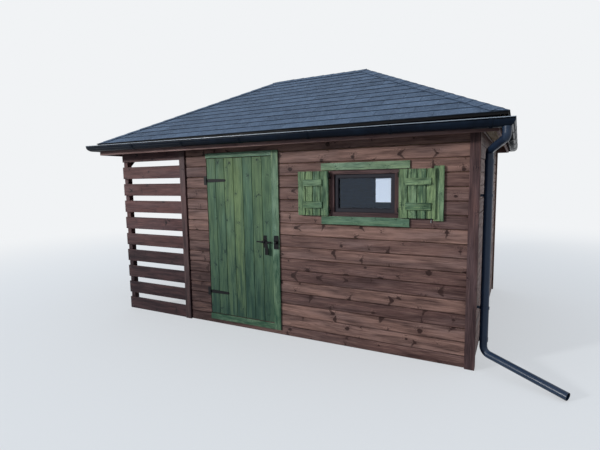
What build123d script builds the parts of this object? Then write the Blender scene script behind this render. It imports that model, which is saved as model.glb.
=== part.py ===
from build123d import *
import math
import os

# Garden log store: a boarded room with a slatted log bay at its left end, under one hipped roof.
# Frame: origin at the middle of the footprint, on the ground. +X runs along the front to the
# right, +Y to the back, +Z up. Millimetres.

# Body of the building
length = 4000.0
depth = 2800.0
wall_thickness = 70.0
wall_height = 2026.0
floor_thickness = 50.0

# Clearances and allowances
timber_fit = 0.3
running_clearance = 0.3
cut_margin = 1.0

# Front of the room, from its left end to the right corner
door_pier = 278.0
doorway_width = 824.0
middle_pier = 620.0
window_width = 634.0
right_pier = 626.0

# Log bay
slat_height = 140.0
slat_gap = 60.0
slat_thickness = 20.0
slat_inset = 2.0
post_side = 60.0
cover_width = 75.0
cover_gap = 13.0
bay_beam_depth = 110.0
brace_reach = 170.0
brace_depth = 60.0
brace_thickness = 45.0

# Corner boards
corner_board_width = 78.0
corner_board_thickness = 16.0

# Doorway and door
doorway_bottom = 110.0
lintel_height = 226.0
casing_width = 75.0
casing_head = 50.0
casing_sill = 60.0
casing_thickness = 16.0
leaf_clearance = 6.0
leaf_board_thickness = 20.0
leaf_boards = 7
leaf_groove = 5.0
ledge_height = 110.0
ledge_thickness = 22.0
ledge_end_gap = 45.0
door_stop_width = 22.0
door_stop_thickness = 18.0
door_stop_clearance = 6.0

# Strap hinges of the door
lower_hinge_rise = 245.0
upper_hinge_drop = 235.0
strap_length = 235.0
strap_width = 38.0
strap_tip_width = 28.0
strap_thickness = 4.0
knuckle_radius = 7.0
knuckle_gap = 1.0
hinge_pin_radius = 3.0
hinge_plate_height = 92.0
hinge_plate_width = 30.0

# Bar bolt of the door, with a handle that hangs from the bar
bolt_height = 945.0
bolt_radius = 7.0
bolt_length = 168.0
bolt_clearance = 5.0
bolt_tip_set_back = 6.0
bolt_plate_height = 126.0
bolt_plate_thickness = 3.0
bolt_guide_width = 40.0
bolt_loop_width = 30.0
bolt_guide_set_back = 70.0
bolt_guide_wall = 5.0
handle_set_back = 58.0
handle_neck_width = 22.0
handle_neck_height = 62.0
handle_neck_thickness = 6.0
handle_width = 36.0
handle_height = 68.0
handle_thickness = 10.0
keeper_width = 54.0
keeper_height = 136.0
keeper_edge_gap = 6.0
keeper_loop_width = 26.0
keeper_clearance = 2.0

# Window
window_head = 386.0
window_height = 418.0
lining_width = 38.0
sash_width = 33.0
sash_depth = 50.0
sash_set_back = 15.0
glass_thickness = 16.0
glass_set_back = 20.0
trim_overlap_left = 85.0
trim_overlap_right = 91.0
trim_top_height = 65.0
trim_bottom_height = 74.0
trim_thickness = 16.0

# Shutters
shutter_clearance = 6.0
shutter_plank_thickness = 20.0
shutter_batten_thickness = 13.0
shutter_batten_height = 61.0
shutter_batten_heights = (105.0, 308.0)
shutter_batten_inset = 58.0
right_batten_end_inset = 37.0
shutter_planks = 4
shutter_groove = 4.0
shutter_edge_gap = 8.0
shutter_meeting_gap = 5.5
left_shutter_width = 308.0
left_pivot_out = 28.0
right_pivot_out = 33.0
pivot_inset = 2.0
strip_width = 79.0
strip_reach = 58.0
strip_thickness = 18.0
strip_overhang = 20.0
shutter_knuckle_radius = 6.0
shutter_knuckle_height = 30.0
shutter_knuckle_inset = 60.0
shutter_pin_radius = 3.0
shutter_strap_length = 38.0
shutter_strap_height = 22.0
shutter_strap_thickness = 2.5
pintle_plate_thickness = 4.0
pintle_lug_height = 8.0

# Roof
roof_pitch_deg = 27.75
eave_overhang = 190.0
eave_drop = 4.0
deck_thickness = 18.0
course_butt = 7.0
course_head = 2.0
course_exposure = 131.0
cap_thickness = 5.0
hip_cap_width = 170.0
ridge_cap_width = 240.0
hip_joint = 2.0
rafter_depth = 105.0
rafter_width = 45.0
rafter_spacing = 600.0
ridge_board_width = 25.0
ridge_board_depth = 170.0
fascia_offset = 170.0
right_fascia_offset = 127.0
fascia_thickness = 20.0
fascia_drop = 142.0
soffit_drop = 61.0
soffit_thickness = 15.0
drip_edge_thickness = 1.5
drip_edge_height = 22.0
drip_edge_set_back = 6.0

# Gutters and downpipe
gutter_radius = 52.5
gutter_lip = 12.0
gutter_wall = 2.5
gutter_bead = 4.0
gutter_drop = 49.0
bracket_pitch = 718.0
bracket_overrun = 75.0
side_bracket_pitch = 700.0
bracket_width = 24.0
bracket_thickness = 3.0
outlet_radius = 30.0
outlet_depth = 76.0
pipe_radius = 33.0
pipe_wall = 2.5
pipe_stand_off = 38.0
pipe_set_back = 100.0
offset_fall = 70.0
offset_bend_radius = 37.0
knee_height = 128.0
foot_reach = 620.0
foot_advance = 230.0
foot_ground_gap = 1.0
bend_radius = 62.0
socket_depth = 60.0
collar_wall = 3.0
collar_height = 34.0
lower_clip_height = 500.0
upper_clip_drop = 350.0
clip_height = 20.0
clip_wall = 4.0
clip_stem = 12.0

# Faces and levels that follow from the sizes above
left = -length / 2
right = length / 2
front = -depth / 2
back = depth / 2
window_x1 = right - right_pier
window_x0 = window_x1 - window_width
door_x1 = window_x0 - middle_pier
door_x0 = door_x1 - doorway_width
room_left = door_x0 - door_pier
room_right = right - corner_board_thickness
room_inner_left = room_left + wall_thickness
room_inner_right = room_right - wall_thickness
inner_front = front + wall_thickness
inner_back = back - wall_thickness
doorway_top = wall_height - lintel_height
window_top = wall_height - window_head
window_bottom = window_top - window_height
soffit_bottom = wall_height - soffit_drop
soffit_top = soffit_bottom + soffit_thickness
fascia_bottom = wall_height - fascia_drop
eave_top = wall_height - eave_drop
gutter_top = eave_top - gutter_drop
slope = math.tan(math.radians(roof_pitch_deg))
slope_sin = math.sin(math.radians(roof_pitch_deg))
slope_cos = math.cos(math.radians(roof_pitch_deg))
course_rise = course_butt / slope_cos
deck_rise = deck_thickness / slope_cos
deck_top_at_edge = eave_top - course_rise
eave_run = depth / 2 + eave_overhang
left_fascia_face = left - fascia_offset
right_fascia_face = right + right_fascia_offset
right_shift = right_fascia_offset - fascia_offset
slope_length = eave_run / slope_cos
ridge_half = (length - depth) / 2
above_roof = deck_top_at_edge + (length + depth) * slope
hinge_x = door_x0 + knuckle_radius / 2
hinge_y = front - knuckle_radius - knuckle_gap
hinge_heights = (doorway_bottom + lower_hinge_rise, doorway_top - upper_hinge_drop)
leaf_x0 = door_x0 + leaf_clearance
leaf_x1 = door_x1 - leaf_clearance
leaf_z0 = doorway_bottom + leaf_clearance
leaf_z1 = doorway_top - leaf_clearance


def block(x0, x1, y0, y1, z0, z1):
    """Rectangular piece between two opposite corners."""
    return Pos((x0 + x1) / 2, (y0 + y1) / 2, (z0 + z1) / 2) * Box(x1 - x0, y1 - y0, z1 - z0)


def prism_z(points, z0, z1):
    """Upright prism over an outline drawn in plan."""
    face = make_face(Polyline(*points, close=True))
    return Pos(0, 0, z0) * extrude(face, amount=z1 - z0, dir=(0, 0, 1))


def prism_x(points, x0, x1):
    """Prism along X over an outline of (y, z) points."""
    face = make_face(Polyline(*[(x0, y, z) for y, z in points], close=True))
    return extrude(face, amount=x1 - x0, dir=(1, 0, 0))


def prism_y(points, y0, y1):
    """Prism along Y over an outline of (x, z) points."""
    face = make_face(Polyline(*[(x, y0, z) for x, z in points], close=True))
    return extrude(face, amount=y1 - y0, dir=(0, 1, 0))


def upright_cylinder(x, y, z0, z1, radius):
    """Vertical cylinder."""
    return Pos(x, y, (z0 + z1) / 2) * Cylinder(radius, z1 - z0)


def group(pieces):
    """Several pieces that don't touch, kept in one node."""
    return Compound(children=[piece for piece in pieces])


def write(name, shape):
    """One STEP file for each sub-part."""
    shape.label = name
    export_step(shape, f"parts/{name}.step")


def mirrored_back(shape):
    """The same piece on the back of the building."""
    return mirror(shape, about=Plane.XZ)


def mirrored_left(shape):
    """The same piece on the left of the building."""
    return mirror(shape, about=Plane.YZ)


# Roof geometry
def roof_volume(overhang, drop, base):
    """Closed volume under the hipped roof plane, dropped straight down from the deck's top face."""
    edge = deck_top_at_edge - drop + (eave_overhang - overhang) * slope
    half_y = depth / 2 + overhang
    half_x = length / 2 + overhang
    across = [(-half_y, base), (half_y, base), (half_y, edge), (0, edge + half_y * slope), (-half_y, edge)]
    along = [(-half_x, base), (half_x, base), (half_x, edge), (0, edge + half_x * slope), (-half_x, edge)]
    return prism_x(across, -half_x, half_x) & prism_y(along, -half_y, half_y)


def long_region(reach, inset):
    """Plan area of the front slope, bounded by the two hips."""
    near = front - reach
    half = length / 2 + reach - inset
    top = ridge_half - inset
    return prism_z([(-half, near), (half, near), (top, 0), (-top, 0)], 0, above_roof)


def end_region(reach, inset):
    """Plan area of the right slope, bounded by the two hips."""
    far = right + reach
    half = depth / 2 + reach - inset
    return prism_z([(far, -half), (far, half), (ridge_half + inset, 0)], 0, above_roof)


def course_profile():
    """Saw-tooth section of the shingle courses, as (distance up the slope, height over the deck)."""
    points = [(0.0, 0.0)]
    start = 0.0
    while start < slope_length:
        end = min(start + course_exposure, slope_length)
        points.append((start, course_butt))
        points.append((end, course_head))
        start += course_exposure
    points.append((slope_length, 0.0))
    return points


def on_slope(point, half_run):
    """Turns (distance up the slope, height over it) into (across, up) for a slope that faces -."""
    along, height = point
    run = along * slope_cos
    rise = along * slope_sin
    out = height * slope_sin
    return (-half_run + run - out, deck_top_at_edge + rise + height * slope_cos)


def front_shingles():
    """Shingle courses of the front slope, mitred at the hips."""
    section = [on_slope(point, eave_run) for point in course_profile()]
    reach = length / 2 + eave_overhang
    return prism_x(section, -reach, reach) & long_region(eave_overhang + course_butt, hip_joint / 2)


def right_shingles():
    """Shingle courses of the right slope, mitred at the hips."""
    half_run = length / 2 + eave_overhang
    section = [on_slope(point, half_run) for point in course_profile()]
    mirrored = [(-x, z) for x, z in section]
    return prism_y(mirrored, -eave_run, eave_run) & end_region(eave_overhang + course_butt, hip_joint / 2)


def roof_deck():
    """Roof boarding: four plates with a narrow joint along each hip and the ridge."""
    shell = roof_volume(fascia_offset, 0, 0) - roof_volume(fascia_offset + cut_margin, deck_rise, -cut_margin)
    front_plate = shell & long_region(fascia_offset, hip_joint / 2)
    front_plate = front_plate & block(-length, length, front * 2, -hip_joint / 2, 0, above_roof)
    right_plate = shell & end_region(fascia_offset, hip_joint / 2)
    return group([front_plate, mirrored_back(front_plate), right_plate, mirrored_left(right_plate)])


def cap_shell():
    """Skin of one cap thickness that lies over the shingle courses."""
    low = -course_rise - timber_fit
    high = low - cap_thickness / slope_cos
    return roof_volume(eave_overhang, high, 0) - roof_volume(eave_overhang + cut_margin, low, -cut_margin)


def hip_cap():
    """Folded cap along the front right hip."""
    half = hip_cap_width / 2 * math.sqrt(2)
    reach = eave_overhang + hip_cap_width
    corner_x, corner_y = right + reach, front - reach
    start_x = ridge_half + hip_joint / 2
    band = prism_z(
        [(start_x, half), (start_x, -half), (corner_x, corner_y - half), (corner_x, corner_y + half)],
        0,
        above_roof,
    )
    quarter = block(start_x, corner_x, corner_y, -hip_joint / 2, 0, above_roof)
    return cap_shell() & band & quarter


def ridge_cap():
    """Folded cap along the ridge."""
    half = ridge_half - hip_joint / 2
    return cap_shell() & block(-half, half, -ridge_cap_width / 2, ridge_cap_width / 2, 0, above_roof)


def rafters():
    """Ridge board, hip rafters, common rafters and jack rafters under the boarding."""
    reach = fascia_offset - fascia_thickness - timber_fit
    shell = roof_volume(reach, deck_rise, soffit_top)
    shell -= roof_volume(reach + cut_margin, deck_rise + rafter_depth / slope_cos, 0)
    shell -= block(left, right, front, back, 0, wall_height)
    half = rafter_width / 2
    clear = half * math.sqrt(2) + timber_fit
    ridge_gap = ridge_board_width / 2 + timber_fit
    behind_fascia = block(
        -length, right_fascia_face - fascia_thickness - timber_fit, -depth, depth, 0, above_roof
    )
    front_area = long_region(reach, clear)
    front_area = front_area & block(-length, length, front * 2, -ridge_gap, 0, above_roof)
    end_area = end_region(reach, clear) & block(
        ridge_half + ridge_gap, length, -depth, depth, 0, above_roof
    )
    pieces = []
    steps = int((length / 2 - rafter_width) // rafter_spacing)
    for step in range(-steps, steps + 1):
        x = step * rafter_spacing
        piece = shell & front_area & block(x - half, x + half, -depth, 0, 0, above_roof)
        pieces += [piece, mirrored_back(piece)]
    steps = int((depth / 2 - rafter_width) // rafter_spacing)
    for step in range(-steps, steps + 1):
        y = step * rafter_spacing
        piece = shell & end_area & block(0, length, y - half, y + half, 0, above_roof)
        pieces += [piece, mirrored_left(piece)]
    diagonal = half * math.sqrt(2)
    apex = ridge_half + ridge_gap
    hip = prism_z(
        [
            (ridge_half - diagonal, 0),
            (ridge_half + diagonal, 0),
            (ridge_half + diagonal + depth, -depth),
            (ridge_half - diagonal + depth, -depth),
        ],
        0,
        above_roof,
    )
    hip = shell & hip & block(apex, apex + depth, -depth, -ridge_gap, 0, above_roof)
    pieces += [hip, mirrored_back(hip), mirrored_left(hip), mirrored_left(mirrored_back(hip))]
    ridge_top = deck_top_at_edge + eave_run * slope - deck_rise
    board_top = ridge_top - ridge_board_width / 2 * slope
    pieces.append(
        block(-ridge_half, ridge_half, -ridge_board_width / 2, ridge_board_width / 2,
              board_top - ridge_board_depth, board_top)
    )
    return group([piece & behind_fascia for piece in pieces])


def fascia():
    """Four fascia boards under the roof boarding: the long ones run past the short ones."""
    inner = fascia_offset - fascia_thickness
    half = depth / 2 + inner - timber_fit
    long_board = block(
        left_fascia_face, right_fascia_face, front - fascia_offset, front - inner, fascia_bottom, above_roof
    )
    boards = [long_board, mirrored_back(long_board)]
    for x in (left_fascia_face, right_fascia_face - fascia_thickness):
        boards.append(block(x, x + fascia_thickness, -half, half, fascia_bottom, above_roof))
    under_deck = roof_volume(eave_overhang, deck_rise + timber_fit, fascia_bottom)
    return group([board & under_deck for board in boards])


def soffit():
    """Level boarding under the eaves."""
    outer = fascia_offset - fascia_thickness - timber_fit
    x1 = right_fascia_face - fascia_thickness - timber_fit
    y1 = back - timber_fit
    long_board = block(left - outer, x1, front - outer, front, soffit_bottom, soffit_top)
    left_board = block(left - outer, left, -y1, y1, soffit_bottom, soffit_top)
    right_board = block(room_right, x1, -y1, y1, soffit_bottom, soffit_top)
    return group([long_board, mirrored_back(long_board), left_board, right_board])


def drip_edge_section(half_run):
    """Folded strip under the overhang of the first course, for a slope that faces -."""
    outer = drip_edge_set_back - half_run
    inner = eave_overhang - fascia_offset - timber_fit - half_run
    folded = outer + drip_edge_thickness
    top = [deck_top_at_edge + (across + half_run) * slope - timber_fit for across in (outer, folded, inner)]
    return [
        (outer, top[0]),
        (inner, top[2]),
        (inner, top[2] - drip_edge_thickness),
        (folded, top[1] - drip_edge_thickness),
        (folded, top[0] - drip_edge_height),
        (outer, top[0] - drip_edge_height),
    ]


def drip_edges():
    """Metal strips along the four eaves, mitred at the corners."""
    reach = length / 2 + eave_overhang
    mitre = timber_fit / 2
    front_strip = prism_x(drip_edge_section(eave_run), -reach, reach) & long_region(eave_overhang, mitre)
    section = [(-across, up) for across, up in drip_edge_section(reach)]
    right_strip = prism_y(section, -eave_run, eave_run) & end_region(eave_overhang, mitre)
    return group([front_strip, mirrored_back(front_strip), right_strip, mirrored_left(right_strip)])


# Rainwater
def gutter_section(extra, lip_top):
    """Closed half-round outline with upright lips, grown by extra, as a face across X."""
    radius = gutter_radius + extra
    centre_y = front - fascia_offset - gutter_radius
    centre_z = gutter_top - gutter_lip
    low_left = (0, centre_y - radius, centre_z)
    low_right = (0, centre_y + radius, centre_z)
    outline = [
        ThreePointArc(low_left, (0, centre_y, centre_z - radius), low_right),
        Line(low_right, (0, centre_y + radius, lip_top)),
        Line((0, centre_y + radius, lip_top), (0, centre_y - radius, lip_top)),
        Line((0, centre_y - radius, lip_top), low_left),
    ]
    return make_face(outline)


def along_x(face, half_length):
    """Extrusion of a section at X = 0 to both sides."""
    return extrude(face, amount=half_length, dir=(1, 0, 0), both=True)


def gutter_edge(half_length, radius):
    """Rolled front edge of the trough, along X."""
    edge_y = front - fascia_offset - 2 * gutter_radius + gutter_bead / 2
    return Pos(0, edge_y, gutter_top - gutter_bead / 2) * Rot(0, 90, 0) * Cylinder(radius, 2 * half_length)


def gutter_trough(wall_length):
    """Half-round trough with its rolled edge, along a wall of the given length."""
    reach = wall_length / 2 + fascia_offset + 2 * gutter_radius
    trough = along_x(gutter_section(0, gutter_top), reach)
    trough -= along_x(gutter_section(-gutter_wall, gutter_top + cut_margin), reach + cut_margin)
    return trough + gutter_edge(reach, gutter_bead)


def front_gutter():
    """Trough along the front eave, mitred at both ends."""
    region = long_region(fascia_offset + 3 * gutter_radius, timber_fit / 2)
    return gutter_trough(length) & region & Pos(right_shift, 0, 0) * region


def side_gutter():
    """The same trough turned along a side eave, as far out on the right as it is on the left."""
    turned = Pos(right + front, 0, 0) * Rot(0, 0, 90) * gutter_trough(depth)
    return turned & end_region(fascia_offset + 3 * gutter_radius, timber_fit / 2)


def gutter_bracket():
    """Strap that wraps the trough from below, at X = 0 on the front."""
    strap = along_x(gutter_section(bracket_thickness + timber_fit, gutter_top - cut_margin), bracket_width / 2)
    strap -= along_x(gutter_section(timber_fit, gutter_top + cut_margin), bracket_width)
    behind = block(-bracket_width, bracket_width, front - fascia_offset, front, 0, above_roof)
    return strap - behind - gutter_edge(bracket_width, gutter_bead + timber_fit)


def gutter_brackets():
    """Brackets at even spacing along the four eaves."""
    strap = gutter_bracket()
    first = right + bracket_overrun
    pieces = []
    for index in range(int((first - left) // bracket_pitch) + 1):
        piece = Pos(first - index * bracket_pitch, 0, 0) * strap
        pieces += [piece, mirrored_back(piece)]
    side = Pos(right + front, 0, 0) * Rot(0, 0, 90) * strap
    side_count = int(depth // side_bracket_pitch)
    for index in range(side_count):
        offset = (index - (side_count - 1) / 2) * side_bracket_pitch
        piece = Pos(0, offset, 0) * side
        pieces += [Pos(right_shift, 0, 0) * piece, mirrored_left(piece)]
    return group(pieces)


def tube_along(points, radius, wall, bend):
    """Bent tube along straight runs joined by arcs."""
    path = FilletPolyline(*points, radius=bend)
    start = Plane(origin=path @ 0, z_dir=path % 0)
    outer = sweep(start * Circle(radius), path=path)
    inner = sweep(start * Circle(radius - wall), path=path)
    return outer - inner


gutter_mid_y = front - fascia_offset - gutter_radius
gutter_floor = gutter_top - gutter_lip - gutter_radius
outlet_x = right_fascia_face + gutter_radius
pipe_x = room_right + pipe_stand_off + pipe_radius
pipe_y = front + pipe_set_back
offset_top = gutter_floor - outlet_depth
offset_bottom = offset_top - offset_fall
pipe_top = offset_bottom - offset_bend_radius - socket_depth / 2
pipe_bottom = knee_height + bend_radius + socket_depth / 2
foot_end = (right + foot_reach, front - foot_advance, pipe_radius + foot_ground_gap)
clip_heights = (lower_clip_height, offset_bottom - upper_clip_drop)


def ring(x, y, z0, z1, inner, wall):
    """Upright ring round the point (x, y)."""
    solid = upright_cylinder(x, y, z0, z1, inner + wall)
    return solid - upright_cylinder(x, y, z0 - cut_margin, z1 + cut_margin, inner)


def downpipe_offset():
    """Outlet under the gutter, and the offset that leads back to the wall."""
    points = [
        (outlet_x, gutter_mid_y, gutter_floor - timber_fit),
        (outlet_x, gutter_mid_y, offset_top),
        (pipe_x, pipe_y, offset_bottom),
        (pipe_x, pipe_y, offset_bottom - socket_depth - offset_bend_radius),
    ]
    pipe = tube_along(points, outlet_radius, pipe_wall, offset_bend_radius)
    middle = gutter_floor - timber_fit - collar_height / 2
    collar_bore = outlet_radius - pipe_wall / 2
    return pipe + ring(outlet_x, gutter_mid_y, middle, gutter_floor - timber_fit, collar_bore, collar_wall)


def downpipe():
    """Straight pipe down the right wall, with a socket over the offset's end."""
    pipe = ring(pipe_x, pipe_y, pipe_bottom, pipe_top, pipe_radius - pipe_wall, pipe_wall)
    collar_bore = pipe_radius - pipe_wall / 2
    pipe += ring(pipe_x, pipe_y, pipe_top - collar_height, pipe_top, collar_bore, collar_wall)
    return pipe + ring(pipe_x, pipe_y, pipe_bottom, pipe_bottom + collar_height, collar_bore, collar_wall)


def downpipe_foot():
    """Elbow at the ground, and the length that sheds the water clear of the wall."""
    points = [
        (pipe_x, pipe_y, pipe_bottom + socket_depth / 2),
        (pipe_x, pipe_y, knee_height),
        foot_end,
    ]
    return tube_along(points, pipe_radius - pipe_wall - timber_fit, pipe_wall, bend_radius)


def pipe_clips():
    """Rings that hold the pipe to the right wall."""
    pieces = []
    for height in clip_heights:
        z0 = height - clip_height / 2
        z1 = height + clip_height / 2
        inner = pipe_radius + timber_fit
        clip = upright_cylinder(pipe_x, pipe_y, z0, z1, inner + clip_wall)
        clip += block(room_right, pipe_x, pipe_y - clip_stem / 2, pipe_y + clip_stem / 2, z0, z1)
        clip -= upright_cylinder(pipe_x, pipe_y, z0 - cut_margin, z1 + cut_margin, inner)
        pieces.append(clip)
    return group(pieces)


# Walls
def front_wall_right():
    """Wall from the doorway to the right corner, with the window cut through."""
    wall = block(door_x1, room_right, front, inner_front, 0, wall_height)
    return wall - block(
        window_x0, window_x1, front - cut_margin, inner_front + cut_margin, window_bottom, window_top
    )


def slat_screen():
    """Horizontal slats of the front of the log bay."""
    pieces = []
    pitch = slat_height + slat_gap
    for index in range(int((wall_height + slat_gap) // pitch)):
        z0 = index * pitch
        pieces.append(
            block(left + slat_inset, room_left - cover_gap, front, front + slat_thickness, z0, z0 + slat_height)
        )
    return pieces


post_front = front + slat_thickness
post_back = post_front + post_side
post_left = left + slat_inset
inner_post_right = room_left - cover_gap
beam_bottom = wall_height - bay_beam_depth


def bay_posts():
    """Four posts of the log bay, under the beams."""
    outer_post = block(post_left, post_left + post_side, post_front, post_back, 0, beam_bottom)
    inner_post = block(inner_post_right - post_side, inner_post_right, post_front, post_back, 0, beam_bottom)
    return group([outer_post, mirrored_back(outer_post), inner_post, mirrored_back(inner_post)])


def bay_beams():
    """Top beams of the log bay: front, back and over the open end."""
    front_beam = block(post_left, room_left, post_front, post_back, beam_bottom, wall_height)
    left_beam = block(
        post_left,
        post_left + post_side,
        post_back + timber_fit,
        -post_back - timber_fit,
        beam_bottom,
        wall_height,
    )
    return group([front_beam, mirrored_back(front_beam), left_beam])


def knee_braces():
    """Slanted braces from the corner posts up to the beam over the open end."""
    x0 = post_left + (post_side - brace_thickness) / 2
    top = beam_bottom
    outline = [
        (post_back, top - brace_reach),
        (post_back, top - brace_reach + brace_depth * math.sqrt(2)),
        (post_back + brace_reach - brace_depth * math.sqrt(2), top),
        (post_back + brace_reach, top),
    ]
    brace = prism_x(outline, x0, x0 + brace_thickness)
    return group([brace, mirrored_back(brace)])


def corner_boards():
    """Angle boards at the right corners, and the cover boards at the end of the slats."""
    outer_y = front - corner_board_thickness
    outline = [
        (right, outer_y),
        (right, outer_y + corner_board_width),
        (room_right, outer_y + corner_board_width),
        (room_right, front),
        (right - corner_board_width, front),
        (right - corner_board_width, outer_y),
    ]
    angle = prism_z(outline, 0, soffit_bottom)
    cover = block(inner_post_right - cover_width, inner_post_right, outer_y, front, 0, soffit_bottom)
    return group([angle, mirrored_back(angle), cover, mirrored_back(cover)])


# Door
def door_casing():
    """Head, right and bottom casing boards round the doorway, in one plane."""
    y0 = front - casing_thickness
    outer = block(door_x0 + leaf_clearance, door_x1 + casing_width, y0, front,
                  doorway_bottom - casing_sill, doorway_top + casing_head)
    hole = block(door_x0, door_x1, y0 - cut_margin, front + cut_margin, doorway_bottom, doorway_top)
    return outer - hole


def door_leaf():
    """Seven grooved boards on three ledges."""
    width = leaf_x1 - leaf_x0
    pitch = width / leaf_boards
    half = leaf_groove / 2
    outline = [(leaf_x0, front)]
    for index in range(1, leaf_boards):
        x = leaf_x0 + index * pitch
        outline += [(x - half, front), (x, front + half), (x + half, front)]
    y0 = front + leaf_board_thickness
    outline += [(leaf_x1, front), (leaf_x1, y0), (leaf_x0, y0)]
    leaf = prism_z(outline, leaf_z0, leaf_z1)
    middle = (leaf_z0 + leaf_z1) / 2
    for z in (hinge_heights[0], middle, hinge_heights[1]):
        leaf += block(leaf_x0 + ledge_end_gap, leaf_x1 - ledge_end_gap, y0, y0 + ledge_thickness,
                      z - ledge_height / 2, z + ledge_height / 2)
    return leaf


def door_stops():
    """Battens inside the doorway that the shut leaf nearly meets."""
    y0 = front + leaf_board_thickness + door_stop_clearance
    y1 = y0 + door_stop_thickness
    side = block(door_x1 - door_stop_width, door_x1, y0, y1, doorway_bottom, doorway_top)
    head = block(door_x0, door_x1 - door_stop_width - timber_fit, y0, y1,
                 doorway_top - door_stop_width, doorway_top)
    return group([side, head])


def strap_hinge(height):
    """Strap with a round tip and its middle knuckle, bored for the pin."""
    third = strap_width / 3
    y_face = front - running_clearance
    shoulder = leaf_x0 + strap_width / 2
    tip_x = hinge_x + strap_length
    outline = make_face(
        Polyline(
            (hinge_x, 0, height - strap_width / 2 + third),
            (hinge_x, 0, height + strap_width / 2 - third),
            (shoulder, 0, height + strap_width / 2),
            (tip_x, 0, height + strap_tip_width / 2),
            (tip_x, 0, height - strap_tip_width / 2),
            (shoulder, 0, height - strap_width / 2),
            close=True,
        )
    )
    strap = Pos(0, y_face, 0) * extrude(outline, amount=strap_thickness, dir=(0, -1, 0))
    tip = Pos(tip_x, y_face - strap_thickness / 2, height) * Rot(90, 0, 0)
    strap += tip * Cylinder(strap_tip_width / 2, strap_thickness)
    half = third / 2 - running_clearance
    strap += upright_cylinder(hinge_x, hinge_y, height - half, height + half, knuckle_radius)
    bore = hinge_pin_radius + running_clearance
    reach = knuckle_radius + running_clearance
    strap -= upright_cylinder(hinge_x, hinge_y, height - strap_width, height + strap_width, bore)
    for low, high in ((-strap_width, -half), (half, strap_width)):
        strap -= upright_cylinder(hinge_x, hinge_y, height + low, height + high, reach)
    return strap


def door_straps():
    """Both strap hinges' moving leaves."""
    return group([strap_hinge(height) for height in hinge_heights])


def hinge_plate(height):
    """Fixed plate on the wall, with two knuckles and the pin."""
    plate = block(hinge_x - knuckle_radius - hinge_plate_width, hinge_x, front - strap_thickness, front,
                  height - hinge_plate_height / 2, height + hinge_plate_height / 2)
    third = strap_width / 3
    half = third / 2
    end = half + third
    plate += upright_cylinder(hinge_x, hinge_y, height - end, height - half, knuckle_radius)
    plate += upright_cylinder(hinge_x, hinge_y, height + half, height + end, knuckle_radius)
    gap = knuckle_radius + running_clearance
    plate -= upright_cylinder(hinge_x, hinge_y, height - half, height + half, gap)
    right_side = block(hinge_x, hinge_x + hinge_plate_width, front - strap_thickness, front + cut_margin,
                       height - half, height + half)
    plate -= right_side
    plate += upright_cylinder(hinge_x, hinge_y, height - end, height + end, hinge_pin_radius)
    return plate


def hinge_plates():
    """Both fixed plates."""
    return group([hinge_plate(height) for height in hinge_heights])


# The bolt's bar lies along X, clear of the casing's face
bolt_y = front - casing_thickness - bolt_clearance - bolt_radius
bolt_tip = leaf_x1 - bolt_tip_set_back
guide_x1 = leaf_x1 - bolt_guide_set_back
guide_x0 = guide_x1 - bolt_guide_width
keeper_x1 = door_x1 + casing_width - keeper_edge_gap
keeper_x0 = keeper_x1 - keeper_width


def bar_along_x(x0, x1, radius):
    """Round bar along X on the bolt's axis."""
    return Pos((x0 + x1) / 2, bolt_y, bolt_height) * Rot(0, 90, 0) * Cylinder(radius, x1 - x0)


def bored_bracket(x0, x1, face, loop_x0, loop_x1, plate_height, bore):
    """Upright plate on a face, with a rounded loop that the bar runs through."""
    outer = bore + bolt_guide_wall
    low = bolt_height - outer
    high = bolt_height + outer
    plate = block(x0, x1, face - bolt_plate_thickness, face,
                  bolt_height - plate_height / 2, bolt_height + plate_height / 2)
    plate += block(loop_x0, loop_x1, bolt_y, face, low, high)
    plate += bar_along_x(loop_x0, loop_x1, outer)
    plate -= block(x0 - cut_margin, x1 + cut_margin, face, face + outer, low, high)
    return plate - bar_along_x(x0 - cut_margin, x1 + cut_margin, bore)


def bolt_guides():
    """Guide on the leaf."""
    return bored_bracket(guide_x0, guide_x1, front, guide_x0, guide_x0 + bolt_loop_width, bolt_plate_height,
                         bolt_radius + running_clearance)


def door_bolt():
    """Bar drawn back, with the handle that hangs from it."""
    bar = bar_along_x(bolt_tip - bolt_length, bolt_tip, bolt_radius)
    middle = leaf_x1 - handle_set_back
    neck_bottom = bolt_height - handle_neck_height
    neck = block(middle - handle_neck_width / 2, middle + handle_neck_width / 2,
                 bolt_y - handle_neck_thickness / 2, bolt_y + handle_neck_thickness / 2,
                 neck_bottom, bolt_height)
    grip = block(middle - handle_width / 2, middle + handle_width / 2,
                 bolt_y - handle_thickness / 2, bolt_y + handle_thickness / 2,
                 neck_bottom - handle_height, neck_bottom)
    return bar + neck + grip


def bolt_keeper():
    """Keeper on the right casing, bored to take the bar with room round it."""
    middle = (keeper_x0 + keeper_x1) / 2
    return bored_bracket(keeper_x0, keeper_x1, front - casing_thickness,
                         middle - keeper_loop_width / 2, middle + keeper_loop_width / 2, keeper_height,
                         bolt_radius + keeper_clearance)


# Window
def frame_ring(x0, x1, z0, z1, width, y0, y1):
    """Rectangular frame of even width."""
    hole = block(x0 + width, x1 - width, y0 - cut_margin, y1 + cut_margin, z0 + width, z1 - width)
    return block(x0, x1, y0, y1, z0, z1) - hole


sash_x0 = window_x0 + lining_width
sash_x1 = window_x1 - lining_width
sash_z0 = window_bottom + lining_width
sash_z1 = window_top - lining_width
sash_y0 = front + sash_set_back
glass_y0 = sash_y0 + glass_set_back


def window_lining():
    """Timber lining of the window opening."""
    return frame_ring(window_x0, window_x1, window_bottom, window_top, lining_width, front, inner_front)


def window_frame():
    """Dark frame that holds the glass."""
    return frame_ring(sash_x0, sash_x1, sash_z0, sash_z1, sash_width, sash_y0, sash_y0 + sash_depth)


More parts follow.
